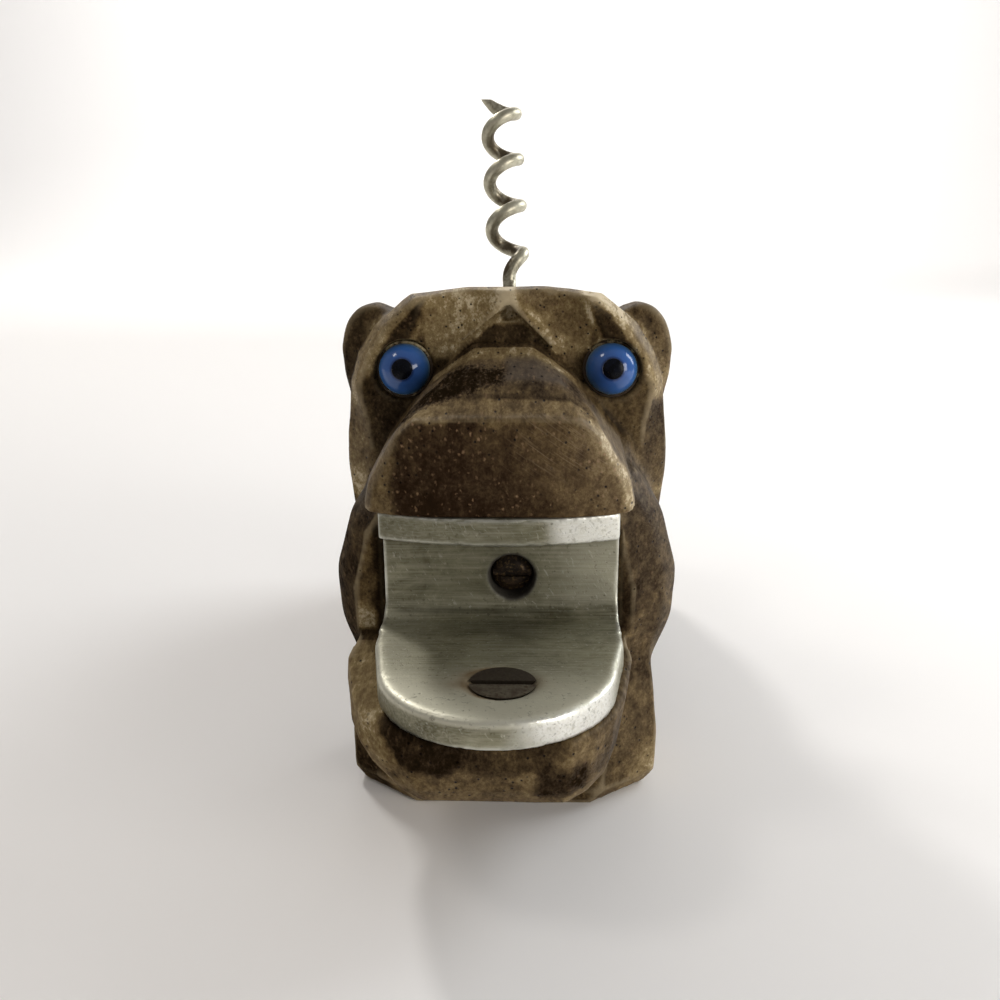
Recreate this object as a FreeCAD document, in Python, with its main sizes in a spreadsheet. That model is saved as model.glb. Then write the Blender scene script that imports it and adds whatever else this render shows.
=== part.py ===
import FreeCAD, Part
import math
import os
import Sketcher
from FreeCAD import Placement, Rotation, Vector

# A standing bulldog carved from one block of wood, with an aluminium mouth that lifts crown caps,
# glass eyes and a corkscrew worm for a tail. Millimetres, +Z up, the face looks along -Y, and the
# origin lies on the table between the four feet.

doc = FreeCAD.newDocument("bulldog_opener")

driving_sizes = {
    # aluminium mouth
    "mouth_offset": -0.6,
    "plate_half_width": 16.8,
    "plate_thickness": 4.0,
    "mouth_gap": 13.6,
    "lip_top": 29.0,
    "lip_front": 64.3,
    "lip_arc_half": 15.6,
    "lip_arc_start": 51.0,
    "lip_half_width": 17.2,
    "lip_widest": 41.5,
    "back_wall_front": 32.0,
    "bend_radius": 3.5,
    "upper_half_width": 16.5,
    "upper_front": 41.6,
    "upper_corner": 38.5,
    # wood screws
    "lip_screw_place": 54.0,
    "lip_screw_head": 8.6,
    "lip_screw_head_height": 2.6,
    "back_screw_head": 6.2,
    "back_screw_head_height": 1.7,
    "back_screw_height": 34.7,
    "back_screw_shift": 1.6,
    "counterbore_floor": 1.2,
    "screw_point": 2.0,
    "screw_slot": 1.0,
    "screw_slot_depth": 0.9,
    "screw_shank": 3.4,
    "lip_screw_length": 9.5,
    "back_screw_length": 16.0,
    "hole_clearance": 0.15,
    # eyes
    "eye_spread": 16.0,
    "eye_height": 61.4,
    "eye_face": 13.0,
    "eye_tilt": 10.0,
    "eye_diameter": 8.0,
    "eye_dome": 3.7,
    "pupil_diameter": 3.1,
    "pupil_depth": 1.2,
    "stem_diameter": 1.2,
    "stem_length": 9.0,
    "socket_diameter": 9.0,
    "socket_depth": 2.0,
    "putty_thickness": 1.0,
    # corkscrew
    "wire_diameter": 2.6,
    "worm_diameter": 8.6,
    "worm_pitch": 10.3,
    "worm_turns": 3.35,
    "tail_place": 32.7,
    "tail_height": 54.0,
    "tail_lean": 30.0,
    "tail_side_lean": 3.5,
    "tail_buried": 14.0,
    "tail_exposed": 16.4,
    "tail_shift": -0.2,
    "lead_in_length": 6.5,
    "worm_point": 3.0,
    # wood
    "slot_back": 30.0,
    "head_front": 13.0,
    "head_top": 73.5,
    "left_extra": 0.9,
    "muzzle_half_width": 18.9,
    "muzzle_top": 65.4,
    "jowl_half_width": 26.3,
    "chin_bottom": 15.5,
    "scoop_radius": 8.0,
    "scoop_depth": 1.8,
    "back_height": 54.0,
    "rump_end": 60.0,
    "leg_inner": 6.0,
    "leg_outer": 22.5,
    "belly_height": 22.0,
}

sheet = doc.addObject("Spreadsheet::Sheet", "Sizes")
for row, (alias, value) in enumerate(driving_sizes.items(), start=1):
    sheet.set(f"A{row}", alias)
    sheet.set(f"B{row}", str(value))
    sheet.setAlias(f"B{row}", alias)
doc.recompute()


class Size:
    """A number kept together with the sheet expression that gives it."""

    def __init__(self, value, text):
        self.value = float(value)
        self.text = text

    def joined(self, other, sign, value):
        return Size(value, f"({self.text} {sign} {as_size(other).text})")

    def __add__(self, other):
        return self.joined(other, "+", self.value + as_size(other).value)

    def __sub__(self, other):
        return self.joined(other, "-", self.value - as_size(other).value)

    def __mul__(self, other):
        return self.joined(other, "*", self.value * as_size(other).value)

    def __truediv__(self, other):
        return self.joined(other, "/", self.value / as_size(other).value)

    def __neg__(self):
        return Size(-self.value, f"(0 - {self.text})")


def as_size(number):
    return number if isinstance(number, Size) else Size(number, str(number))


def root(number):
    return Size(math.sqrt(number.value), f"sqrt({number.text})")


def size(alias):
    return Size(sheet.get(alias), f"Sizes.{alias}")


def mm(alias):
    return size(alias).value


def bind(thing, prop, value):
    thing.setExpression(prop, as_size(value).text)


# ---- sketches in a body ----

def new_body(label):
    body = doc.addObject("PartDesign::Body", label)
    body.Label = label
    return body


def origin_plane(body, role):
    return next(feature for feature in body.Origin.OriginFeatures if feature.Role == role)


def sketch_on(body, name, role):
    sketch = body.newObject("Sketcher::SketchObject", name)
    sketch.AttachmentSupport = (origin_plane(body, role), [""])
    sketch.MapMode = "FlatFace"
    return sketch


def flat(corner):
    return Vector(as_size(corner[0]).value, as_size(corner[1]).value, 0)


def end_at(sketch, edge, corner):
    """Which end of the edge, 1 or 2, lies at the corner; an arc may run either way."""
    gaps = [(sketch.getPoint(edge, end) - flat(corner)).Length for end in (1, 2)]
    return 1 if gaps[0] < gaps[1] else 2


def hold_corner(sketch, edge, corner):
    """Holds the edge's end at the corner that the sheet gives."""
    end = end_at(sketch, edge, corner)
    for kind, value in zip(("DistanceX", "DistanceY"), corner):
        value = as_size(value)
        index = sketch.addConstraint(Sketcher.Constraint(kind, -1, 1, edge, end, value.value))
        bind(sketch, f"Constraints[{index}]", value)


def closed_sketch(body, name, role, corners, arcs=None):
    """A closed outline held by the sheet; arcs gives a round edge's middle and its centre's height."""
    arcs = arcs or {}
    sketch = sketch_on(body, name, role)
    count = len(corners)
    for index, corner in enumerate(corners):
        start, end = flat(corner), flat(corners[(index + 1) % count])
        if index in arcs:
            sketch.addGeometry(Part.Arc(start, flat(arcs[index][0]), end), False)
        else:
            sketch.addGeometry(Part.LineSegment(start, end), False)
    for index, corner in enumerate(corners):
        previous = (index - 1) % count
        near, far = end_at(sketch, previous, corner), end_at(sketch, index, corner)
        sketch.addConstraint(Sketcher.Constraint("Coincident", previous, near, index, far))
        hold_corner(sketch, index, corner)
    for edge, (_, centre) in arcs.items():
        centre_point = 3
        held = Sketcher.Constraint("DistanceY", -1, 1, edge, centre_point, as_size(centre).value)
        bind(sketch, f"Constraints[{sketch.addConstraint(held)}]", centre)
    doc.recompute()
    return sketch


def pad(body, sketch, length):
    feature = body.newObject("PartDesign::Pad", sketch.Name + "_pad")
    feature.Profile = sketch
    bind(feature, "Length", length)
    sketch.Visibility = False
    doc.recompute()
    return feature


def pocket(body, sketch, label, depth=None):
    """Cuts the sketch upwards by depth, or right through both ways, and checks that it cut."""
    before = body.Shape.Volume
    feature = body.newObject("PartDesign::Pocket", label)
    feature.Profile = sketch
    if depth is None:
        feature.Type = "ThroughAll"
        feature.SideType = "Symmetric"
    else:
        feature.Reversed = True
        bind(feature, "Length", depth)
    sketch.Visibility = False
    doc.recompute()
    if body.Shape.Volume >= before:
        raise RuntimeError(f"{label} cuts nothing")
    return feature


def profile_body(label, corners, arcs=None):
    """A body turned round its own Z axis from radius and height pairs."""
    body = new_body(label)
    sketch = closed_sketch(body, label + "_profile", "XZ_Plane", corners, arcs)
    feature = body.newObject("PartDesign::Revolution", label + "_turned")
    feature.Profile = sketch
    feature.ReferenceAxis = (origin_plane(body, "Z_Axis"), [""])
    feature.Angle = 360
    sketch.Visibility = False
    doc.recompute()
    return body


def cut_from(label, base, tools):
    """The base with every tool taken out of it."""
    both = doc.addObject("Part::MultiFuse", label + "_tools")
    both.Shapes = tools
    result = doc.addObject("Part::Cut", label)
    result.Label = label
    result.Base = base
    result.Tool = both
    doc.recompute()
    return result


def placed_cylinder(name, place, radius, bottom, height):
    """A round tool along the local Z of place."""
    tool = doc.addObject("Part::Cylinder", name)
    bind(tool, "Radius", radius)
    bind(tool, "Height", height)
    shift = Placement(Vector(0, 0, as_size(bottom).value), Rotation())
    tool.Placement = place.multiply(shift)
    return tool


# ---- places that several pieces share ----

lip_under = size("lip_top") - size("plate_thickness")
upper_under = size("lip_top") + size("mouth_gap")
upper_top = upper_under + size("plate_thickness")
back_wall_rear = size("back_wall_front") - size("plate_thickness")
clearance = size("hole_clearance")


def lip_screw_place():
    """Head flush with the lip's top, the screw pointing down."""
    return Placement(Vector(0.3, -mm("lip_screw_place"), mm("lip_top")), Rotation())


def back_screw_place():
    """Under the head, on the floor of its counterbore; local +Z points out of the mouth."""
    floor = -back_wall_rear.value - mm("counterbore_floor")
    shift = mm("mouth_offset") + mm("back_screw_shift")
    place = Vector(shift, floor, mm("back_screw_height"))
    return Placement(place, Rotation(Vector(1, 0, 0), 90))


def eye_place(side):
    """Local +Z points out of the face, tipped up a little."""
    place = Vector(side * mm("eye_spread"), -mm("eye_face"), mm("eye_height"))
    return Placement(place, Rotation(Vector(1, 0, 0), 90 - mm("eye_tilt")))


def tail_place():
    """Local +Z runs up the tail, leaning back and a little to one side."""
    lean = Rotation(Vector(1, 0, 0), -mm("tail_lean"))
    side_lean = Rotation(Vector(0, 1, 0), -mm("tail_side_lean"))
    place = Vector(mm("tail_shift"), mm("tail_place"), mm("tail_height"))
    return Placement(place, side_lean * lean)


# ---- screws ----

def make_screw(label, corners, slot_top, place):
    """A turned wood screw with a slot across its head."""
    body = profile_body(label, corners)
    half, floor = size("screw_slot") / 2, slot_top - size("screw_slot_depth")
    above = slot_top + 1
    slot = [(-half, floor), (half, floor), (half, above), (-half, above)]
    pocket(body, closed_sketch(body, label + "_slot", "YZ_Plane", slot), label + "_slot_cut")
    body.Placement = place
    return body


def make_lip_screw():
    head, shank = size("lip_screw_head") / 2, size("screw_shank") / 2
    length, point = size("lip_screw_length"), size("screw_point")
    corners = [(0, 0), (head, 0), (shank, -size("lip_screw_head_height")),
               (shank, -length + point), (shank / 3, -length), (0, -length)]
    return make_screw("lip_screw", corners, as_size(0), lip_screw_place())


def make_back_screw():
    head, shank = size("back_screw_head") / 2, size("screw_shank") / 2
    rise, length, point = size("back_screw_head_height"), size("back_screw_length"), size("screw_point")
    corners = [(0, rise), (head * 0.55, rise * 0.94), (head * 0.88, rise * 0.6), (head, 0),
               (shank, 0), (shank, -length + point), (shank / 3, -length), (0, -length)]
    return make_screw("back_screw", corners, rise, back_screw_place())


def lip_screw_hole(name):
    """Countersunk in the lip, then straight down to the screw's end."""
    head, shank = size("lip_screw_head") / 2 + clearance, size("screw_shank") / 2 + clearance
    corners = [(0, 1), (head, 1), (head, 0), (shank, -size("lip_screw_head_height")),
               (shank, -size("lip_screw_length")), (0, -size("lip_screw_length"))]
    tool = profile_body(name, corners)
    tool.Placement = lip_screw_place()
    return tool


def back_screw_hole(name):
    """A counterbore for the head, then straight on to the screw's end."""
    head, shank = size("back_screw_head") / 2 + clearance, size("screw_shank") / 2 + clearance
    front = size("plate_thickness") + 1
    corners = [(0, front), (head, front), (head, 0), (shank, 0),
               (shank, -size("back_screw_length")), (0, -size("back_screw_length"))]
    tool = profile_body(name, corners)
    tool.Placement = back_screw_place()
    return tool


# ---- aluminium mouth ----

def edges_across(shape, depth, heights):
    """Names the long edges that run from side to side at this depth and one of these heights."""
    names = []
    for number, edge in enumerate(shape.Edges, start=1):
        box = edge.BoundBox
        across = box.XLength > 2 * mm("lip_arc_half") and box.YLength + box.ZLength < 0.02
        if across and abs(box.YMin + depth) < 0.01 and any(abs(box.ZMin - z) < 0.01 for z in heights):
            names.append(f"Edge{number}")
    return names


def round_bends(body, label, depth, heights, radius):
    """Rounds both bends of the strip on one side of it."""
    base = body.Tip
    feature = body.newObject("PartDesign::Fillet", label)
    feature.Base = (base, edges_across(base.Shape, depth, heights))
    bind(feature, "Radius", radius)
    base.Visibility = False
    doc.recompute()


def make_mouth_plate():
    """A thick strip bent to a C: short upper arm, back wall, and a lip with a round front."""
    body = new_body("mouth_plate_strip")
    half, thick = size("plate_half_width"), size("plate_thickness")
    flare, widest = size("lip_half_width"), -size("lip_widest")
    arc_half, arc_start = size("lip_arc_half"), -size("lip_arc_start")
    plan = [(half, -back_wall_rear), (flare, widest), (arc_half, arc_start),
            (-arc_half, arc_start), (-flare, widest), (-half, -back_wall_rear)]
    rise = size("lip_front") - size("lip_arc_start")
    centre = (arc_half * arc_half + rise * rise) / (rise * 2) - size("lip_front")
    plan_sketch = closed_sketch(body, "plate_plan", "XY_Plane", plan,
                                arcs={2: ((0, -size("lip_front")), centre)})
    plan_sketch.AttachmentOffset = Placement(Vector(0, 0, lip_under.value), Rotation())
    pad(body, plan_sketch, size("mouth_gap") + thick * 2)

    # the space that the cap goes into, open to the front and to both sides
    front = -size("lip_front") - 1
    inner = [(front, size("lip_top")), (-size("back_wall_front"), size("lip_top")),
             (-size("back_wall_front"), upper_under), (front, upper_under)]
    pocket(body, closed_sketch(body, "mouth_space", "YZ_Plane", inner), "mouth_cut")

    # the upper arm is narrower than the lip and stops short of it, in a shallow curve
    corner, arm, beyond = -size("upper_corner"), size("upper_half_width"), flare + 1
    behind = -size("slot_back")
    trim = [(beyond, behind), (arm, behind), (arm, corner), (-arm, corner),
            (-arm, behind), (-beyond, behind), (-beyond, front), (beyond, front)]
    rise = size("upper_front") - size("upper_corner")
    centre = (arm * arm + rise * rise) / (rise * 2) - size("upper_front")
    trim_sketch = closed_sketch(body, "upper_trim", "XY_Plane", trim,
                                arcs={2: ((0, -size("upper_front")), centre)})
    trim_sketch.AttachmentOffset = Placement(Vector(0, 0, upper_under.value - 1), Rotation())
    pocket(body, trim_sketch, "upper_arm_cut", thick + 2)

    round_bends(body, "inner_bends", mm("back_wall_front"), (mm("lip_top"), upper_under.value),
                size("bend_radius"))
    round_bends(body, "outer_bends", back_wall_rear.value, (lip_under.value, upper_top.value),
                size("bend_radius") + thick)
    body.Placement = Placement(Vector(mm("mouth_offset"), 0, 0), Rotation())
    holes = [lip_screw_hole("lip_countersink"), back_screw_hole("wall_counterbore")]
    return cut_from("mouth_plate", body, holes)


# ---- eyes, each in its own frame: +Z out of the face, zero at the wood's face ----

putty_top = size("putty_thickness") - size("socket_depth")
dome_top = putty_top + size("eye_dome")
dome_centre = dome_top - size("eye_diameter") / 2
pupil_floor = dome_top - size("pupil_depth")
stem_radius = size("stem_diameter") / 2


def dome_height_at(radius):
    """Height of the glass dome's surface at this distance from its axis."""
    eye_radius = size("eye_diameter") / 2
    return dome_centre + root(eye_radius * eye_radius - radius * radius)


def dome_rim():
    """Radius of the dome where its flat back cuts it."""
    eye_radius, drop = size("eye_diameter") / 2, putty_top - dome_centre
    return root(eye_radius * eye_radius - drop * drop)


def make_eye(label, side):
    """A domed glass button with a pocket for the pupil and a blind hole for the stem."""
    hole, bore = stem_radius + clearance, size("pupil_diameter") / 2 + clearance / 3
    halfway = size("eye_diameter") / 2 * 0.75
    corners = [(hole, putty_top), (dome_rim(), putty_top), (bore, dome_height_at(bore)),
               (bore, pupil_floor), (0, pupil_floor), (0, 0), (hole, 0)]
    dome = ((halfway, dome_height_at(halfway)), dome_centre)
    body = profile_body(label, corners, arcs={1: dome})
    body.Placement = eye_place(side)
    return body


def make_pupil(label, side):
    """A black plug whose front carries on the dome."""
    radius = size("pupil_diameter") / 2
    corners = [(0, pupil_floor), (radius, pupil_floor), (radius, dome_height_at(radius)),
               (0, dome_top)]
    halfway = radius / 2
    dome = ((halfway, dome_height_at(halfway)), dome_centre)
    body = profile_body(label, corners, arcs={2: dome})
    body.Placement = eye_place(side)
    return body


def make_putty(label, side):
    """A flat ring of putty that beds the glass in its socket."""
    inner, outer = stem_radius + clearance, size("socket_diameter") / 2 - clearance / 3
    floor = -size("socket_depth")
    corners = [(inner, floor), (outer, floor), (outer, putty_top), (inner, putty_top)]
    body = profile_body(label, corners)
    body.Placement = eye_place(side)
    return body


def make_stem(label, side):
    """The wire that runs from the glass into the wood."""
    stem = placed_cylinder(label, eye_place(side), stem_radius, -size("stem_length"),
                           size("stem_length"))
    stem.Label = label
    return stem


def eye_cuts(name, side):
    """The socket and the stem's hole in the wood."""
    place = eye_place(side)
    socket = placed_cylinder(name + "_socket", place, size("socket_diameter") / 2,
                             -size("socket_depth"), size("socket_depth") + 6)
    hole = placed_cylinder(name + "_stem_hole", place, stem_radius + clearance,
                           -size("stem_length"), size("stem_length"))
    return [socket, hole]


# ---- corkscrew tail ----

steps_per_turn = 12
lead_in_turn = 0.3


def worm_point(turn):
    """A point of the wire's middle; the radius grows from the axis over the lead-in."""
    full_radius = (mm("worm_diameter") - mm("wire_diameter")) / 2
    grown = min(1.0, (turn + lead_in_turn) / lead_in_turn)
    radius = full_radius * grown * grown * (3 - 2 * grown)
    angle = 2 * math.pi * turn
    risen = mm("lead_in_length") * grown + mm("worm_pitch") * max(0.0, turn)
    height = mm("tail_exposed") + risen
    return Vector(radius * math.cos(angle), radius * math.sin(angle), height)


def worm_route():
    """The shank's end, the straight shank, and the worm's turns up to the tip."""
    lead_steps = math.ceil(lead_in_turn * steps_per_turn)
    turns = [-lead_in_turn * (1 - step / lead_steps) for step in range(1, lead_steps)]
    last = round(mm("worm_turns") * steps_per_turn)
    turns += [step / steps_per_turn for step in range(last + 1)]
    shank = [Vector(0, 0, -mm("tail_buried")), Vector(0, 0, mm("tail_exposed"))]
    return shank + [worm_point(turn) for turn in turns]


def bent_path(points):
    """Straight runs joined by arcs that touch both runs."""
    edges, start = [], points[0]
    for before, corner, after in zip(points, points[1:], points[2:]):
        back, ahead = before - corner, after - corner
        reach = 0.45 * min(back.Length, ahead.Length)
        back.normalize()
        ahead.normalize()
        enter, leave = corner + back * reach, corner + ahead * reach
        inward = (back + ahead).normalize()
        half_turn = (math.pi - back.getAngle(ahead)) / 2
        middle = corner + inward * arc_gap(reach, half_turn)
        edges.append(Part.LineSegment(start, enter).toShape())
        edges.append(Part.Arc(enter, middle, leave).toShape())
        start = leave
    edges.append(Part.LineSegment(start, points[-1]).toShape())
    return Part.Wire(edges)


def arc_gap(reach, half_turn):
    """How far inside its corner an arc passes, for runs cut back by reach."""
    radius = reach / math.tan(half_turn)
    return radius / math.cos(half_turn) - radius


def make_corkscrew():
    """A round wire swept along the shank and the worm, ground to a point."""
    route = worm_route()
    wire_radius = mm("wire_diameter") / 2
    path = bent_path(route)
    ring = Part.Wire(Part.makeCircle(wire_radius, route[0], Vector(0, 0, 1)))
    rod = path.makePipeShell([ring], True, False)
    end_direction = (route[-1] - route[-2]).normalize()
    point = Part.makeCone(wire_radius, wire_radius * 0.15, mm("worm_point"), route[-1], end_direction)
    feature = doc.addObject("Part::Feature", "corkscrew")
    feature.Label = "corkscrew"
    feature.Shape = rod.fuse(point)
    feature.Placement = tail_place()
    expected = path.Length * math.pi * wire_radius ** 2
    print(f"corkscrew volume {rod.Volume:.1f}, section times length {expected:.1f}")
    return feature


# ---- the carved block ----

def both_sides(half_outline, left_extra=0.0):
    """A closed outline from the points of its right half, listed from the top down."""
    widest = max(across for across, along in half_outline)
    left = [(-across - left_extra * across / widest, along)
            for across, along in reversed(half_outline) if across > 0]
    return list(half_outline) + left


def lump(name, rings):
    """A faceted solid between rings that all have the same number of corners."""
    wires = [Part.makePolygon(ring + ring[:1]) for ring in rings]
    feature = doc.addObject("Part::Feature", name)
    feature.Shape = Part.makeLoft(wires, True, True)
    return feature


def upright(outline, depth, shift=0.0):
    """A ring that stands across the dog at this depth, from (across, height) pairs."""
    return [Vector(across + shift, depth, height) for across, height in outline]


def level(outline, height):
    """A ring that lies level at this height, from (across, depth) pairs."""
    return [Vector(across, depth, height) for across, depth in outline]


def trunk_ring(depth, half, low, high):
    """A cross-section of chest, barrel or rump with cut corners."""
    tall = high - low
    outline = [(half * 0.5, high), (half * 0.85, high - tall * 0.11), (half, high - tall * 0.32),
               (half, low + tall * 0.30), (half * 0.82, low + tall * 0.08), (half * 0.45, low)]
    return upright(both_sides(outline), depth)


def make_trunk():
    back, belly = mm("back_height"), mm("belly_height")
    stations = [
        (-31.0, 16.0, belly - 6, back - 18),
        (-26.0, 20.5, belly - 8, back - 10),
        (-10.0, 22.5, belly - 5, back + 4),
        (8.0, 21.5, belly, back + 7),
        (22.0, 19.0, belly + 3, back + 1),
        (38.0, 20.5, belly + 1, back),
        (50.0, 19.5, belly, back - 5),
        (57.0, 15.5, belly + 3, back - 11),
        (mm("rump_end"), 10.0, belly + 8, back - 17),
    ]
    return lump("trunk", [trunk_ring(*station) for station in stations])


def make_head():
    """Flat face with cut top corners; the cheeks and the skull fall away behind it."""
    top, front = mm("head_top"), mm("head_front")
    face = [(6.0, top - 0.2), (13.4, top - 1.2), (18.2, top - 6.0), (21.0, top - 10.4),
            (22.6, top - 15.0), (21.2, top - 21.0), (20.4, top - 28.0), (20.2, top - 36.0),
            (17.0, top - 44.0)]
    rim = [(6.0, top), (14.6, top - 1.0), (20.2, top - 5.8), (22.8, top - 10.0),
           (24.2, top - 14.6), (24.7, top - 20.0), (25.5, top - 28.5), (24.6, top - 37.0),
           (19.0, top - 45.0)]
    crown = [(6.0, top - 2.4), (14.0, top - 3.0), (18.6, top - 6.6), (21.4, top - 10.4),
             (23.2, top - 15.0), (24.0, top - 20.5), (24.6, top - 28.5), (24.0, top - 37.0),
             (18.0, top - 46.0)]
    nape = [(5.0, top - 9.0), (11.0, top - 10.0), (15.5, top - 12.5), (18.0, top - 16.0),
            (20.0, top - 20.0), (21.0, top - 25.0), (21.5, top - 31.0), (21.0, top - 38.0),
            (16.0, top - 46.0)]
    depths = [-front, -front + 4.5, 6.0, 17.0]
    rings = [upright(both_sides(outline, mm("left_extra")), depth)
             for outline, depth in zip((face, rim, crown, nape), depths)]
    return cut_from("gouged_head", lump("head", rings),
                    [brow_notch(), brow_step(), forehead_scoop(-1), forehead_scoop(1)])


def make_muzzle():
    """Blunt bulging front, a worn bevel round it, and a bridge rising to the brow."""
    half, top, low = mm("muzzle_half_width"), mm("muzzle_top"), upper_top.value
    front = -mm("upper_front")
    stations = [
        (front + 0.3, [(3.5, 13.2), (6.0, 13.8), (7.6, 15.0), (8.3, 16.4)], 8.9),
        (front + 1.3, [(5.0, 8.6), (9.5, 9.4), (11.6, 11.8), (12.6, 14.8)], 14.4),
        (front + 2.6, [(6.0, 5.7), (11.2, 6.0), (13.8, 8.6), (15.4, 12.2)], 17.6),
        (front + 4.4, [(6.0, 5.2), (11.0, 5.4), (14.0, 7.8), (16.2, 12.0)], 18.5),
        (front + 7.6, [(5.4, 4.4), (9.9, 4.8), (13.2, 6.8), (16.3, 11.4)], half),
        (-30.0, [(4.8, 3.0), (8.8, 3.6), (11.9, 5.6), (15.4, 10.4)], half),
        (-16.0, [(4.4, 0.5), (7.0, 2.2), (10.2, 4.6), (14.0, 9.0)], half + 0.2),
        (-9.0, [(4.4, 0.0), (7.2, 1.8), (10.6, 4.0), (14.4, 8.6)], half + 0.3),
    ]
    rings = []
    for depth, shoulder, base in stations:
        outline = [(across, top - drop) for across, drop in shoulder]
        across, height = outline[-1]
        outline += [((across + base * 3) / 4, (height + low) / 2), (base, low)]
        rings.append(upright(both_sides(outline), depth, mm("mouth_offset")))
    return lump("muzzle", rings)


def jowl_ring(depth, half, low, high, shift=0.0):
    """A cross-section of the two hanging cheeks and the throat between them."""
    tall = high - low
    outline = [(half * 0.45, high), (half * 0.74, high - tall * 0.03), (half * 0.90, high - tall * 0.19),
               (half, high - tall * 0.45), (half * 0.985, high - tall * 0.66),
               (half * 0.86, high - tall * 0.88), (half * 0.66, low), (half * 0.35, low)]
    return upright(both_sides(outline, mm("left_extra") / 2), depth, shift)


def make_jowls():
    half = mm("jowl_half_width")
    stations = [
        (-mm("slot_back"), half * 0.775, 13.5, 47.0, -1.5),
        (-25.5, half * 0.92, 12.5, 48.0, -0.4),
        (-20.0, half, 11.5, 48.5),
        (-8.0, half * 0.93, 13.0, 50.0),
        (2.0, half * 0.82, 18.0, 50.0),
    ]
    return lump("jowls", [jowl_ring(*station) for station in stations])


def chin_outline(half, front, back, lean):
    """Plan of the lower jaw: a flat blunt front, cut corners, and more wood on the left."""
    points = [(half * 0.53, front), (half * 0.70, front + 2.8), (half * 0.86, front + 7.0),
              (half * 0.95, front + 12.5), (half * 1.06, front + 24.0), (half, back)]
    right = [(across * (1 - lean), depth) for across, depth in points]
    left = [(-across * (1 + lean), depth) for across, depth in reversed(points)]
    return right + left


def make_chin():
    """The lip rests on its flat top; its front and its corners are cut away underneath."""
    back, bottom = -20.0, mm("chin_bottom")
    rings = [
        level(chin_outline(16.8, -60.4, back, 0.07), bottom),
        level(chin_outline(17.8, -61.8, back, 0.09), bottom + 2.5),
        level(chin_outline(18.9, -62.5, back, 0.12), lip_under.value - 3.6),
        level(chin_outline(19.1, -61.8, back, 0.10), lip_under.value),
    ]
    return lump("chin", rings)


def leg_ring(side, height, inner, outer, front, back, cut):
    """A level section of one leg, its outer corners cut by the given amount."""
    outer += mm("left_extra") if side < 0 else 0.0
    outline = [(inner, front), (outer - cut * 1.3, front), (outer, front + cut),
               (outer, back - cut * 0.6), (outer - cut * 0.6, back), (inner, back)]
    return level([(side * across, depth) for across, depth in outline], height)


def make_leg(name, side, sections):
    return lump(name, [leg_ring(side, *section) for section in sections])


def front_leg(side):
    inner, foot = mm("leg_inner"), mm("leg_outer")
    sections = [
        (0.0, inner, foot - 1.4, -36.0, -15.0, 6.5),
        (2.2, inner, foot + 0.2, -36.4, -15.0, 6.5),
        (8.0, inner, foot + 0.4, -35.6, -16.0, 6.0),
        (15.0, inner - 1.0, foot, -33.0, -15.0, 5.0),
        (27.0, inner - 3.0, foot - 1.0, -28.0, -8.0, 4.0),
    ]
    return make_leg("front_leg_right" if side > 0 else "front_leg_left", side, sections)


def hind_leg(side):
    inner, foot = mm("leg_inner"), mm("leg_outer") - 1.5
    sections = [
        (0.0, inner, foot - 1.2, 33.0, 55.0, 5.0),
        (2.2, inner, foot, 33.0, 56.0, 5.0),
        (7.0, inner, foot, 34.5, 57.0, 5.0),
        (15.0, inner - 0.5, foot - 1.0, 40.0, 58.5, 4.0),
        (24.0, inner - 1.5, foot, 33.0, 58.0, 4.0),
        (36.0, inner - 3.0, foot - 2.0, 30.0, 55.0, 4.0),
    ]
    return make_leg("hind_leg_right" if side > 0 else "hind_leg_left", side, sections)


def ear(side):
    """A short rounded flap that stands out behind the cut corner of the head."""
    front = [(17.5, 69.0), (20.6, 70.6), (23.2, 70.0), (25.3, 67.4), (26.2, 63.6), (25.9, 59.0),
             (24.6, 55.4), (18.0, 56.0)]
    middle = [(17.0, 68.6), (20.2, 70.2), (23.0, 69.4), (25.0, 66.8), (25.9, 63.0), (25.6, 58.0),
              (24.4, 54.0), (18.0, 55.0)]
    tip = [(17.0, 66.0), (19.6, 67.0), (21.6, 66.4), (23.2, 64.4), (24.0, 61.6), (24.0, 58.4),
           (23.2, 55.6), (18.0, 57.0)]
    out = mm("left_extra") if side < 0 else 0.0
    rings = [upright([(side * (across + out), height) for across, height in outline], depth)
             for outline, depth in ((front, -5.6), (middle, 1.0), (tip, 8.0))]
    return lump("ear_right" if side > 0 else "ear_left", rings)


def forehead_scoop(side):
    """A round gouge cut from the crown down to the eye, beside the middle ridge."""
    top = Vector(side * 4.5, 0, mm("head_top") + 3)
    bottom = Vector(side * 13.2, 0, mm("eye_height") - 2)
    run = bottom - top
    tool = doc.addObject("Part::Cylinder", "scoop_right" if side > 0 else "scoop_left")
    bind(tool, "Radius", size("scoop_radius"))
    tool.Height = run.Length
    axis_depth = -mm("head_front") - mm("scoop_radius") + mm("scoop_depth")
    tool.Placement = Placement(Vector(top.x, axis_depth, top.z), Rotation(Vector(0, 0, 1), run))
    return tool


def brow_notch():
    """The pointed recess over the bridge of the nose."""
    low = mm("muzzle_top") - 1.5
    outline = [(0.2, mm("head_top") - 2.2), (7.2, low), (-8.6, low)]
    front, floor = -mm("head_front") - 3, -mm("head_front") + 2.2
    return lump("brow_notch", [upright(outline, front), upright(outline, floor)])


def brow_step():
    """The deeper end of that recess, under the middle ridge."""
    high, low = mm("head_top") - 2.8, mm("head_top") - 5.0
    outline = [(0.2, high), (2.4, low), (-2.2, low)]
    front, floor = -mm("head_front") - 3, -mm("head_front") + 3.6
    return lump("brow_step", [upright(outline, front), upright(outline, floor)])


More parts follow.
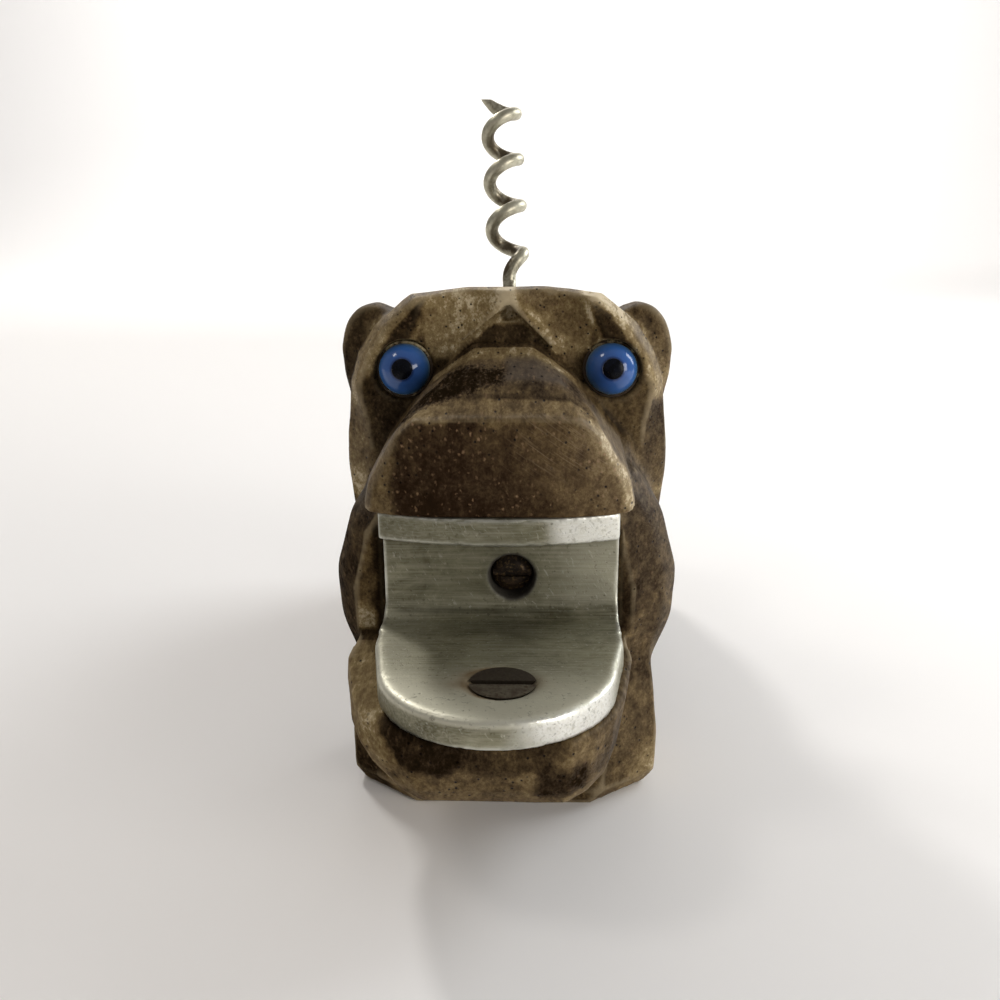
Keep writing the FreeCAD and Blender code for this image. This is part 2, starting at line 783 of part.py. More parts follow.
def box_tool(name, low, high):
    """A plain block between two corners, each coordinate taken from the sheet."""
    tool = doc.addObject("Part::Box", name)
    for prop, start, end in zip(("Length", "Width", "Height"), low, high):
        bind(tool, prop, as_size(end) - start)
    for axis, start in zip("xyz", low):
        bind(tool, f"Placement.Base.{axis}", start)
    return tool


def mouth_cuts():
    """The saw cut through the head, and the shallow seat for the back of the aluminium."""
    reach = size("lip_front") + 6
    saw_cut = box_tool("saw_cut", (-size("lip_front"), -reach, lip_under),
                       (size("lip_front"), -size("slot_back"), upper_top))
    half = size("plate_half_width") + clearance
    middle = size("mouth_offset")
    seat = box_tool("plate_seat", (middle - half, -reach, lip_under),
                    (middle + half, -back_wall_rear, upper_top))
    return [saw_cut, seat]


def make_carved_body():
    """Every lump joined into one block, then the mouth, sockets, gouges and drilled holes."""
    lumps = [make_trunk(), make_head(), make_muzzle(), make_jowls(), make_chin()]
    for side in (-1, 1):
        lumps += [front_leg(side), hind_leg(side), ear(side)]
    block = doc.addObject("Part::MultiFuse", "block")
    block.Shapes = lumps
    tail_hole = placed_cylinder("tail_hole", tail_place(), size("wire_diameter") / 2 + clearance,
                                -size("tail_buried"), size("tail_buried") + 8)
    cuts = mouth_cuts() + [tail_hole]
    cuts += [lip_screw_hole("lip_screw_bore"), back_screw_hole("back_screw_bore")]
    for side in (-1, 1):
        cuts += eye_cuts("left" if side < 0 else "right", side)
    return cut_from("carved_body", block, cuts)


# ---- assembly ----

def make_parts():
    parts = [make_carved_body(), make_mouth_plate(), make_lip_screw(), make_back_screw()]
    for name, side in (("left", -1), ("right", 1)):
        parts += [make_eye(name + "_eye", side), make_pupil(name + "_pupil", side),
                  make_putty(name + "_eye_putty", side), make_stem(name + "_eye_stem", side)]
    parts.append(make_corkscrew())
    return parts


def check_document():
    for thing in doc.Objects:
        if "Invalid" in thing.State or "Error" in thing.State:
            raise RuntimeError(f"{thing.Label} is not computed: {thing.State}")


def check_part(part):
    shape = part.Shape
    if shape.isNull() or not shape.isValid():
        raise RuntimeError(f"{part.Label} has no valid shape")
    if len(shape.Solids) != 1:
        raise RuntimeError(f"{part.Label} has {len(shape.Solids)} solids")
    print(f"{part.Label}: {shape.Volume:.1f} mm3, {len(shape.Faces)} faces")


parts = make_parts()
doc.recompute()
check_document()
os.makedirs("parts", exist_ok=True)
for part in parts:
    check_part(part)
    part.Shape.exportStep(f"parts/{part.Label}.step")
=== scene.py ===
import math

import bmesh
import bpy
import numpy as np
from mathutils import Matrix, Vector


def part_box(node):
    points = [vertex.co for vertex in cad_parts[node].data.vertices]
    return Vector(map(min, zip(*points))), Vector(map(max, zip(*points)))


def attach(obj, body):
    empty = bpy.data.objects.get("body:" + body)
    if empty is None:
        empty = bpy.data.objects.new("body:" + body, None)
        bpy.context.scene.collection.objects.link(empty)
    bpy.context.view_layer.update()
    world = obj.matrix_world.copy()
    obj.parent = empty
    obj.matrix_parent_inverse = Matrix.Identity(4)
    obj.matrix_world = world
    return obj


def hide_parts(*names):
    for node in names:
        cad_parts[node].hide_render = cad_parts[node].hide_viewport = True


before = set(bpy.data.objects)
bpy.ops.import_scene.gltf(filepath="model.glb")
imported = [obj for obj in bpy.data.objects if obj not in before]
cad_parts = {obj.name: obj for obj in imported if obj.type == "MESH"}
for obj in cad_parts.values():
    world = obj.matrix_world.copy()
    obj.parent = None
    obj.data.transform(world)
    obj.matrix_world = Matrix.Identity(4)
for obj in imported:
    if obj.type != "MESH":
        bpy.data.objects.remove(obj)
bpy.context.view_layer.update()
mm = 0.001


def linearColour(hexText):
    # sRGB hex to linear rgba
    values = [int(hexText[i:i + 2], 16) / 255 for i in (1, 3, 5)]
    return tuple(v / 12.92 if v <= 0.04045 else ((v + 0.055) / 1.055) ** 2.4 for v in values) + (1.0,)


def addNode(tree, kind, settings=None, values=None, links=None):
    # one node with its settings, its input values and its incoming links
    node = tree.nodes.new(kind)
    for name, value in (settings or {}).items():
        setattr(node, name, value)
    for name, value in (values or {}).items():
        node.inputs[name].default_value = value
    for name, source in (links or {}).items():
        tree.links.new(source, node.inputs[name])
    return node


def newMaterial(name):
    # an empty node tree with its shader, ready to be wired
    material = bpy.data.materials.new(name)
    material.use_nodes = True
    tree = material.node_tree
    return material, tree, tree.nodes["Principled BSDF"]


def smoothStep(low, high, values):
    # 0 below low, 1 above high, with an even curve between
    t = np.clip((values - low) / (high - low), 0.0, 1.0)
    return t * t * (3.0 - 2.0 * t)


def latticeNoise(points, cell, seed):
    # value noise, -1 to 1: a hashed number at each corner of a lattice of the given cell sizes,
    # blended between the corners with an even curve
    scaled = points / np.asarray(cell, dtype=float) + seed * 17.31
    base = np.floor(scaled).astype(np.int64)
    part = scaled - base
    part = part * part * (3.0 - 2.0 * part)
    total = np.zeros(len(points))
    for corner in range(8):
        offset = np.array([corner & 1, corner >> 1 & 1, corner >> 2 & 1])
        key = (base + offset) @ np.array([73856093, 19349663, 83492791]) + seed * 2654435761
        key = (key ^ (key >> 13)) * 1274126177 & 0x7FFFFFFF
        weight = np.prod(np.where(offset, part, 1.0 - part), axis=1)
        total += weight * ((key ^ (key >> 11)) % 65536 / 32767.5 - 1.0)
    return total


# the camera stands in front of the dog, a little above its head
camera = {
    "place": (4.8 * mm, -180.0 * mm, 93.0 * mm),
    "pitch": 17.5,                      # degrees below level
    "turn": -2.1,                       # degrees from +Y towards +X
    "roll": 0.5,                        # degrees
    "focalPixels": 1100.0,
    "imageSize": 1000,
}


def makeCamera():
    # a camera looks along its own -Z, so it is tipped up from straight down, turned and rolled
    data = bpy.data.cameras.new("camera")
    data.sensor_width = 36.0
    data.lens = camera["focalPixels"] * data.sensor_width / camera["imageSize"]
    data.clip_start = 0.005
    holder = bpy.data.objects.new("camera", data)
    bpy.context.collection.objects.link(holder)
    turn = Matrix.Rotation(-math.radians(camera["turn"]), 4, "Z")
    tip = Matrix.Rotation(math.radians(90 - camera["pitch"]), 4, "X")
    roll = Matrix.Rotation(-math.radians(camera["roll"]), 4, "Z")
    holder.matrix_world = Matrix.Translation(camera["place"]) @ turn @ tip @ roll
    bpy.context.scene.camera = holder


studio = {"floorHalf": 1.6, "sweepRadius": 0.5, "wallTop": 2.2, "floorColour": "#F4F2F0"}


def makeSweep():
    # profile in YZ: level floor, quarter circle, upright wall; carried straight along X
    half, radius = studio["floorHalf"], studio["sweepRadius"]
    angle = np.linspace(0, math.pi / 2, 24)
    depth = np.concatenate([[-half], half * 0.5 + radius * np.sin(angle), [half * 0.5 + radius]])
    height = np.concatenate([[0.0], radius * (1 - np.cos(angle)), [studio["wallTop"]]])
    across = np.linspace(-half, half, 9)
    gridX, gridY = np.meshgrid(across, depth)
    gridZ = np.repeat(height[:, None], len(across), axis=1)
    points = np.stack([gridX, gridY, gridZ], axis=-1).reshape(-1, 3)
    rows, columns = gridX.shape
    first = (np.arange(rows - 1)[:, None] * columns + np.arange(columns - 1)).ravel()
    faces = np.stack([first, first + 1, first + columns + 1, first + columns], axis=1)
    mesh = bpy.data.meshes.new("studio_floor")
    mesh.from_pydata(points.tolist(), [], faces.tolist())
    mesh.shade_smooth()
    floor = bpy.data.objects.new("studio_floor", mesh)
    bpy.context.collection.objects.link(floor)
    material, tree, shader = newMaterial("plain pale paper")
    shader.inputs["Base Color"].default_value = linearColour(studio["floorColour"])
    shader.inputs["Roughness"].default_value = 0.9
    mesh.materials.append(material)


def softLight(name, place, target, size, power, colour="#FFFFFF"):
    # a square area light that faces its target
    data = bpy.data.lights.new(name, "AREA")
    data.size = size
    data.energy = power
    data.color = linearColour(colour)[:3]
    lamp = bpy.data.objects.new(name, data)
    bpy.context.collection.objects.link(lamp)
    aim = Vector(target) - Vector(place)
    lamp.matrix_world = Matrix.Translation(place) @ aim.to_track_quat("-Z", "Y").to_matrix().to_4x4()


def lightStudio():
    # a window high behind throws the shadow forwards; softer lamps fill the sides and the front,
    # and one washes the backdrop
    aim = (0.0, 0.0, 0.03)
    softLight("window behind", (-0.36, 0.58, 0.66), aim, 0.10, 2.5, "#FFFDFA")
    softLight("lamp left", (-0.50, -0.05, 0.80), aim, 0.18, 0.75, "#FFFAF4")
    softLight("window right", (0.40, 0.25, 0.25), (0.1, 0.1, 0.0), 0.30, 1.7, "#F8FCFF")
    softLight("soft front", (0.50, -0.35, 0.18), (0.0, 0.0, 0.04), 0.30, 1.6, "#FFFCF8")
    softLight("backdrop wash", (0.0, 0.75, 0.90), (0.0, 1.5, 0.6), 0.80, 10.0)
    world = bpy.data.worlds.new("studio air")
    bpy.context.scene.world = world
    world.use_nodes = True
    background = world.node_tree.nodes["Background"]
    background.inputs["Color"].default_value = linearColour("#FFFBF8")
    background.inputs["Strength"].default_value = 0.29
    bpy.context.scene.view_settings.view_transform = "Standard"


makeCamera()
makeSweep()
lightStudio()
print("camera, floor and lights are up")


def softenedCopy(node, name, voxel, passes, thinBehind=None):
    # the node's solid, merged and remeshed on a grid of this size, then evened out: each pass
    # moves every point half of the way to the mean of its neighbours. Behind a given depth the
    # grid is thinned to a share of its faces
    mesh = bpy.data.objects[node].data.copy()
    mesh.materials.clear()
    cleanUp(mesh)
    piece = bpy.data.objects.new(name, mesh)
    bpy.context.collection.objects.link(piece)
    remesh = piece.modifiers.new("even grid", "REMESH")
    remesh.mode = "VOXEL"
    remesh.voxel_size = voxel
    evaluated = piece.evaluated_get(bpy.context.evaluated_depsgraph_get())
    grid = bpy.data.meshes.new_from_object(evaluated)
    piece.modifiers.clear()
    piece.data = grid
    grid.name = name
    points, pairs, counts = pointsAndPairs(grid)
    for step in range(passes):
        points += 0.5 * (neighbourMean(points, pairs, counts) - points)
    grid.vertices.foreach_set("co", points.ravel())
    if thinBehind:
        depth, share = thinBehind
        group = piece.vertex_groups.new(name="rear")
        group.add([int(i) for i in np.flatnonzero(points[:, 1] > depth)], 1.0, "REPLACE")
        thinner = piece.modifiers.new("thinned rear", "DECIMATE")
        thinner.ratio = share
        thinner.vertex_group = "rear"
        evaluated = piece.evaluated_get(bpy.context.evaluated_depsgraph_get())
        thinned = bpy.data.meshes.new_from_object(evaluated)
        piece.modifiers.clear()
        piece.vertex_groups.clear()
        piece.data = thinned
        thinned.name = name
    piece.data.shade_smooth()
    piece.data.update()
    triangles = sum(len(face.vertices) - 2 for face in piece.data.polygons)
    print(name, len(piece.data.vertices), "points", triangles, "triangles")
    return piece


def cleanUp(mesh):
    # merges doubled points and turns the faces outwards
    cleaner = bmesh.new()
    cleaner.from_mesh(mesh)
    bmesh.ops.remove_doubles(cleaner, verts=cleaner.verts, dist=1e-6)
    bmesh.ops.recalc_face_normals(cleaner, faces=cleaner.faces)
    cleaner.to_mesh(mesh)
    cleaner.free()


def gridPiece(name, points, wrapRows=False):
    # a closed surface from a grid of points whose columns run round it; rows at a pole are merged
    rows, columns = points.shape[:2]
    across = np.arange(columns)
    down = np.arange(rows if wrapRows else rows - 1)[:, None]
    here, right = down * columns + across, down * columns + (across + 1) % columns
    below = (down + 1) % rows * columns
    faces = np.stack([here, right, below + (across + 1) % columns, below + across], axis=-1).reshape(-1, 4)
    mesh = bpy.data.meshes.new(name)
    mesh.from_pydata(points.reshape(-1, 3).tolist(), [], faces.tolist())
    cleanUp(mesh)
    mesh.shade_smooth()
    piece = bpy.data.objects.new(name, mesh)
    bpy.context.collection.objects.link(piece)
    return piece


def revolved(profile, place, segments):
    # a profile of (radius, height) pairs turned about local Z, then put in its place
    angle = np.linspace(0.0, 2.0 * math.pi, segments, endpoint=False)
    radius, height = profile[:, :1], profile[:, 1:]
    local = np.stack([radius * np.cos(angle), radius * np.sin(angle),
                      np.broadcast_to(height, (len(profile), segments))], axis=-1)
    return local @ np.array(place.to_3x3()).T + np.array(place.translation)


def pointsAndPairs(mesh):
    # the mesh's points as an array, its edges as pairs of indices and each point's edge count
    points = np.empty(len(mesh.vertices) * 3)
    mesh.vertices.foreach_get("co", points)
    pairs = np.empty(len(mesh.edges) * 2, dtype=np.int32)
    mesh.edges.foreach_get("vertices", pairs)
    pairs = pairs.reshape(-1, 2)
    return points.reshape(-1, 3), pairs, np.bincount(pairs.ravel(), minlength=len(mesh.vertices))


def neighbourMean(values, pairs, counts):
    # mean over each point's neighbours, for one column or several
    table = values.reshape(len(values), -1)
    total = np.stack([np.bincount(pairs[:, 0], column[pairs[:, 1]], len(table))
                      + np.bincount(pairs[:, 1], column[pairs[:, 0]], len(table))
                      for column in table.T], axis=1)
    return (total / np.maximum(counts, 1)[:, None]).reshape(values.shape)


def pointNormals(mesh):
    # the mesh's point normals as an array
    normals = np.empty(len(mesh.vertices) * 3)
    mesh.vertices.foreach_get("normal", normals)
    return normals.reshape(-1, 3)


def reliefOf(points, normals, pairs, counts, passes):
    # how far each point lies inside (+) or outside (-) of its surroundings, in millimetres:
    # the surface blurred by many passes, minus the surface, along the normal
    blurred = points.copy()
    for step in range(passes):
        blurred = neighbourMean(blurred, pairs, counts)
    return np.sum((blurred - points) * normals, axis=1) / mm


def storeValue(mesh, name, values):
    # one number for each point, which the materials read by name
    layer = mesh.attributes.new(name, "FLOAT", "POINT")
    layer.data.foreach_set("value", np.asarray(values, dtype=np.float32))


def between(values, low, high, soft):
    # 1 between the two limits, 0 outside, with soft edges
    return smoothStep(low - soft, low + soft, values) * (1.0 - smoothStep(high - soft, high + soft, values))


def attributeOf(tree, name):
    return addNode(tree, "ShaderNodeAttribute", {"attribute_name": name}).outputs["Fac"]


def objectPlace(tree, scale, turn=(0.0, 0.0, 0.0)):
    # object coordinates, turned by degrees and scaled: a scale of 1000 / n repeats every n millimetres
    source = addNode(tree, "ShaderNodeTexCoord").outputs["Object"]
    turned = addNode(tree, "ShaderNodeMapping", {}, {"Rotation": tuple(math.radians(a) for a in turn)},
                     {"Vector": source})
    return addNode(tree, "ShaderNodeMapping", {}, {"Scale": scale}, {"Vector": turned.outputs[0]}).outputs[0]


def noiseField(tree, scale, detail=3.0, roughness=0.5, distortion=0.0, turn=(0.0, 0.0, 0.0)):
    return addNode(tree, "ShaderNodeTexNoise", {}, {"Scale": 1.0, "Detail": detail, "Roughness": roughness,
                                                    "Distortion": distortion},
                   {"Vector": objectPlace(tree, scale, turn)}).outputs["Fac"]


def reach(tree, value, fromLow, fromHigh, toLow=0.0, toHigh=1.0):
    # a value's range carried over to another, clamped
    node = addNode(tree, "ShaderNodeMapRange", {}, {"From Min": fromLow, "From Max": fromHigh,
                                                    "To Min": toLow, "To Max": toHigh}, {"Value": value})
    return node.outputs[0]


def blendColour(tree, amount, first, second):
    # first where the amount is 0, second where it is 1; each is a link or a hex colour
    node = addNode(tree, "ShaderNodeMix", {"data_type": "RGBA"})
    for index, source in ((0, amount), (6, first), (7, second)):
        if isinstance(source, str):
            node.inputs[index].default_value = linearColour(source)
        elif isinstance(source, float):
            node.inputs[index].default_value = source
        else:
            tree.links.new(source, node.inputs[index])
    return node.outputs[2]


def combine(tree, operation, first, second):
    # two values, each a link or a number, put together by this operation
    node = addNode(tree, "ShaderNodeMath", {"operation": operation})
    for index, source in enumerate((first, second)):
        if isinstance(source, (int, float)):
            node.inputs[index].default_value = source
        else:
            tree.links.new(source, node.inputs[index])
    return node.outputs[0]


def times(tree, first, second):
    return combine(tree, "MULTIPLY", first, second)


def plus(tree, first, second):
    return combine(tree, "ADD", first, second)


def colourRamp(tree, amount, *stops):
    # an amount turned into colour by stops of (place, hex), in rising order
    ramp = addNode(tree, "ShaderNodeValToRGB", links={"Fac": amount})
    ends = ramp.color_ramp.elements
    for end, (place, colour) in ((ends[0], stops[0]), (ends[1], stops[-1])):
        end.position, end.color = place, linearColour(colour)
    for place, colour in stops[1:-1]:
        ends.new(place).color = linearColour(colour)
    return ramp.outputs["Color"]


def addBump(tree, shader, height, strength, distance):
    # fine relief in the shading alone; the distance is in metres
    bump = addNode(tree, "ShaderNodeBump", {}, {"Strength": strength, "Distance": distance},
                   {"Height": height})
    tree.links.new(bump.outputs[0], shader.inputs["Normal"])


def dress(piece, material, nodes=()):
    # the piece's material, the finish it takes, the nodes that it stands for, and its body
    piece.data.materials.clear()
    piece.data.materials.append(material)
    if nodes:
        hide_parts(*nodes)
    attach(piece, "root")


wood = {
    "voxel": 0.45 * mm,
    "passes": 1,
    "raspPasses": 30,
    "rear": (2.0 * mm, 0.58),           # behind this depth the grid keeps this share overall
    "facetDepth": 0.16 * mm,            # scallops left by the knife
    "wander": 0.10 * mm,                # slow unevenness of a hand-cut surface
    "middle": -0.6,                     # the mouth stands this far to the left, in mm
}


def wobbled(places):
    # places moved a little by noise, so that no border of colour runs straight
    wobble = latticeNoise(places, (2.6, 3.2, 2.6), 11) * 0.7 + latticeNoise(places, (0.9, 1.2, 0.9), 12) * 0.3
    return places + wobble[:, None] * np.array([0.7, 0.5, 0.7])


def toneOf(x, y, z, facing):
    # how light the surface is painted, 0 to 1, painted light and shade included: the muzzle's blunt front is
    # nearly black with handling, its top and the cut corners are rubbed pale, hollows are painted dark as
    # shade, and in many places the right side is painted paler as lit from that side. Each stroke goes over
    # those before it
    # right is 1 on the right side; the strokes use it for painted light as well as for the wood's own tone
    right = smoothStep(-3.0, 3.0, x)
    tone = 0.48 - 0.08 * smoothStep(2.0, 16.0, y)
    strokes = muzzleStrokes(x, y, z, right) + faceStrokes(x, y, z, right) \
        + rimStrokes(x, y, z, right, facing) + sideStrokes(x, y, z, right, facing) \
        + chinStrokes(x, y, z, right)
    for amount, value in strokes:
        tone = tone + (value - tone) * amount
    return tone


def muzzleStrokes(x, y, z, right):
    # side facets, painted paler on the right as lit; the blunt front, with painted sheen to its right and
    # near its top; the rubbed band above it, then the bridge
    onMuzzle = between(z, 46.0, 80, 0.3) * (y < -14.0)
    bridge = between(z, 60, 70, 0.5)
    return [
        # painted light: the right side facet is coloured paler, as lit from the right
        (onMuzzle * smoothStep(-34.0, -37.0, y), 0.62 + 0.25 * right),
        # the blunt front is dark with handling; its paler right and paler top are painted sheen, and it is
        # darker at the bottom
        (between(z, 44, 59.4, 0.9) * smoothStep(-38.4, -39.4, y) * smoothStep(-15.4, -13.6, x),
         np.interp(x, (-13, -10, -5, 1, 6, 9, 13), (0.23, 0.12, 0.17, 0.33, 0.38, 0.54, 0.63))
         + 0.13 * smoothStep(54.0, 58.5, z) - 0.06 * smoothStep(51, 47.5, z)),
        (between(z, 58.9, 70, 0.3) * between(y, -42, -33.6, 0.5), 0.58 + 0.04 * np.abs(x) / 8),
        (bridge * between(y, -32.8, -14, 0.6),
         0.44 + 0.32 * smoothStep(-21.5, -18.5, y) - 0.10 * smoothStep(0, 4, x) * between(y, -34, -23, 1.0)),
        (bridge * between(y, -33.4, -32.2, 0.3) * smoothStep(-4, -1, x), 0.30),
    ]


def faceStrokes(x, y, z, right):
    # the gouged brow, dark beside the eyes, the V-shaped notch painted dark as shade with its ledge painted
    # pale as lit, its pale ridge, partly rubbed and partly painted light, and its right arm; the face is
    # painted paler on the right as lit
    side = np.abs(x)
    face = between(y, -14.5, -8.8, 0.3) * smoothStep(43, 45, z)
    besideEye = smoothStep(12.5, 14.0, side) * (1 - smoothStep(18.5, 20, side))
    notch = between(y, -14.5, -6.0, 0.3) * smoothStep(60.5, 61.5, z)
    notch = notch * (side < np.maximum(69.6 - z, 0) * 1.25)
    fromRim = side - np.interp(z, (58.5, 63.1, 67.5, 72.3), (22.6, 21.0, 18.2, 13.4))
    rightArm = x - np.interp(z, (65, 71), (6.6, 1.8))
    return [
        # painted light: the face is paler on the right, as lit from that side; it is also paler lower down
        (face, np.interp(z, (44, 50, 56), (0.55, 0.42, 0.34)) + 0.14 * right),
        (face * smoothStep(62, 64, z) * (1 - smoothStep(12.0, 14.0, side)),
         0.80 - 0.12 * right + 0.12 * right * smoothStep(69, 64, z)),
        (face * besideEye * smoothStep(60, 63, z), 0.25),
        # painted shade in the notch, and painted light on the ledge inside it, which the brow shades
        (notch, 0.34 + 0.55 * between(z, 67.7, 69.7, 0.3)),
        # the ridge is rubbed pale and painted paler still, as lit from above
        (face * smoothStep(68.5, 70.5, z) * (1 - smoothStep(0.7, 2.6, np.abs(x + 0.2))), 1.10),
        (face * smoothStep(57, 60, z) * smoothStep(-1.1, -0.5, fromRim),
         0.82 + 0.20 * right * smoothStep(66, 70, z)),
        (0.6 * face * between(z, 65, 71, 0.5) * between(rightArm, 0.1, 1.6, 0.5), 0.98),
        (face * between(z, 49, 60, 1.5) * between(x, -23, -17, 1.0), 0.33),
    ]


def rimStrokes(x, y, z, right, facing):
    # the chamfer round the face, rubbed pale and painted paler as sheen, most at its upper right; then the
    # cheeks behind it, painted paler low down as sheen and darker on the right
    side = np.abs(x)
    rim = between(y, -12.4, -6.0, 0.3) * smoothStep(45, 52, z) * (1 - facing)
    rim = rim * smoothStep(13.0, 14.5, side + (z - 62) * 0.25)
    return [
        # painted sheen: the chamfer's pale tone is partly rubbed wood, partly sheen, and paler still at the
        # upper right
        (rim, 0.74 + (0.24 * smoothStep(66, 70, z) - 0.02) * right),
        # painted sheen: the cheeks are paler low down
        (between(y, -13, 4, 1.0) * smoothStep(20.5, 21.5, side) * between(z, 40, 56, 1.0),
         np.interp(z, (41, 46, 52), (0.92, 0.68, 0.53)) - 0.24 * right),
    ]


def sideStrokes(x, y, z, right, facing):
    # ears and jowls, painted paler on the right as lit from that side, and the walls on either side of the
    # metal, with painted shadow in the gaps along it
    side = np.abs(x)
    onWall = between(y, -31.5, -28, 0.5) * between(z, 24.5, 44, 0.6) * facing
    return [
        # painted light: the right ear is coloured paler, most low down, as lit from the right
        ((y > -9) * (y < 3) * smoothStep(22.0, 23.5, side) * smoothStep(56, 58, z),
         0.29 + 0.30 * right + 0.16 * right * smoothStep(63, 58, z)),
        # painted light: the right jowl is coloured a little paler, as lit from the right
        (between(y, -31, -13, 1.0) * smoothStep(17.4, 18.6, side) * (1 - facing) * between(z, 17, 46, 1.5),
         0.28 + (0.13 - 0.08 * smoothStep(36, 41, z)) * right),
        (onWall * (x < 0), 0.53 + 0.36 * smoothStep(31, 28, z)),
        (onWall * (x > 0), 0.32),
        # painted shadow: dark strips along both edges of the metal, in the gaps between it and the wood
        (onWall * between(x, -19.2, -15, 0.5), 0.14),
        (onWall * between(x, 14, 17.0, 0.4), 0.16),
    ]


def chinStrokes(x, y, z, right):
    # the chin with its dark wedge on the left, painted shade just under the lip and a dark mark, then the
    # feet, painted paler on the right as lit and, low down, paler on the right and darker on the left
    wedge = np.minimum(z - np.interp(x, (-15, -8, -4), (24.0, 19.6, 22.0)), -3.6 - x)
    return [
        ((y < -33) * (z < 26), 0.76 - 0.29 * right),
        ((y < -56) * between(z, 14, 27, 1.0) * between(x, -14, 12, 2.0), 0.60),
        ((y < -55) * smoothStep(-0.6, 0.8, np.minimum(wedge, x + 15.2)) * (z < 28), 0.12),
        # painted shade: a dark band on the chin just under the lip
        ((y < -56) * between(x, -4.5, 6.5, 1.2) * between(z, 20.9, 26, 0.7), 0.30),
        ((y < -56) * between(x, 4.6, 11.0, 0.9) * between(z, 17.2, 21.4, 0.7), 0.17),
        # painted light and shade: the right foot is paler as lit; near the floor the right one is paler still
        # and the left one darker
        ((z < 14) * between(y, -34, 80, 1.0) * smoothStep(15, 17, np.abs(x)),
         0.37 + 0.20 * right + (0.26 * right - 0.14) * smoothStep(9.0, 6.0, z)),
    ]


def blackPatch(x, y):
    # 1 inside the burnt-looking wedge on the bridge, left of its middle, 0 some way outside
    low = np.interp(x, (-15, -10, -7.5, -4.8, -0.6), (-37.0, -35.0, -33.5, -32.0, -29.5))
    high = np.interp(x, (-12, -9.6, -7.3, -4.5, -2.3, -0.9), (-30.0, -25.0, -21.5, -22.0, -24.0, -23.5))
    return smoothStep(-2.4, 2.0, np.minimum(np.minimum(y - low, high - y), np.minimum(x + 15.5, 0.1 - x)))


def raspedShare(points):
    # 1 on the ears and the hanging cheeks, which were rounded further with a rasp, 0 elsewhere
    x, y, z = (points / mm).T
    out = np.abs(x) + 0.5 * np.clip(z - 62.0, 0, None)
    ears = smoothStep(22.2, 23.2, out) * between(y, -8.0, 6, 0.6) * smoothStep(56, 58, z)
    cheeks = between(y, -27, 2, 2.0) * smoothStep(19.5, 22.0, np.abs(x)) * between(z, 14, 47, 2.0)
    return np.clip(ears + cheeks, 0, 1)


def makeCarvedWood():
    # the block's solid with worn edges, then two layers of noise along the normal
    piece = softenedCopy("carved_body", "carved_wood", wood["voxel"], wood["passes"], wood["rear"])
    mesh = piece.data
    points, pairs, counts = pointsAndPairs(mesh)
    rasped = raspedShare(points)
    for step in range(wood["raspPasses"]):
        points += (0.5 * rasped)[:, None] * (neighbourMean(points, pairs, counts) - points)
    low, high = (np.array(corner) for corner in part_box("carved_body"))
    normals = pointNormals(mesh)
    scaled = points / mm
    scallops = np.abs(latticeNoise(scaled, (7.0, 9.0, 6.0), 3))
    wander = latticeNoise(scaled, (16.0, 20.0, 13.0), 5)
    push = wood["wander"] * wander - wood["facetDepth"] * scallops
    # the soles stay flat on the table, and the faces that meet the metal stay true
    onTable = 1.0 - smoothStep(0.2, 1.2, scaled[:, 2])
    atMetal = between(np.abs(scaled[:, 0] - wood["middle"]), -1, 17.6, 0.3) \
        * (scaled[:, 1] < -29) * between(scaled[:, 2], 24.0, 47.2, 0.3)
    points += normals * (push * (1.0 - onTable) * (1.0 - atMetal))[:, None]
    points = np.clip(points, low, high)
    mesh.vertices.foreach_set("co", points.ravel())
    mesh.update()
    normals = pointNormals(mesh)
    # the thinned rear has longer edges, so the same passes reach further there
    span = 1.0 + 5.0 * smoothStep(0.5, 4.0, scaled[:, 1])
    fine = reliefOf(points, normals, pairs, counts, 5) / span
    broad = reliefOf(points, normals, pairs, counts, 110) / span
    storeWoodMaps(mesh, scaled, normals, fine, broad, atMetal)
    dress(piece, makeWoodMaterial(), ["carved_body"])


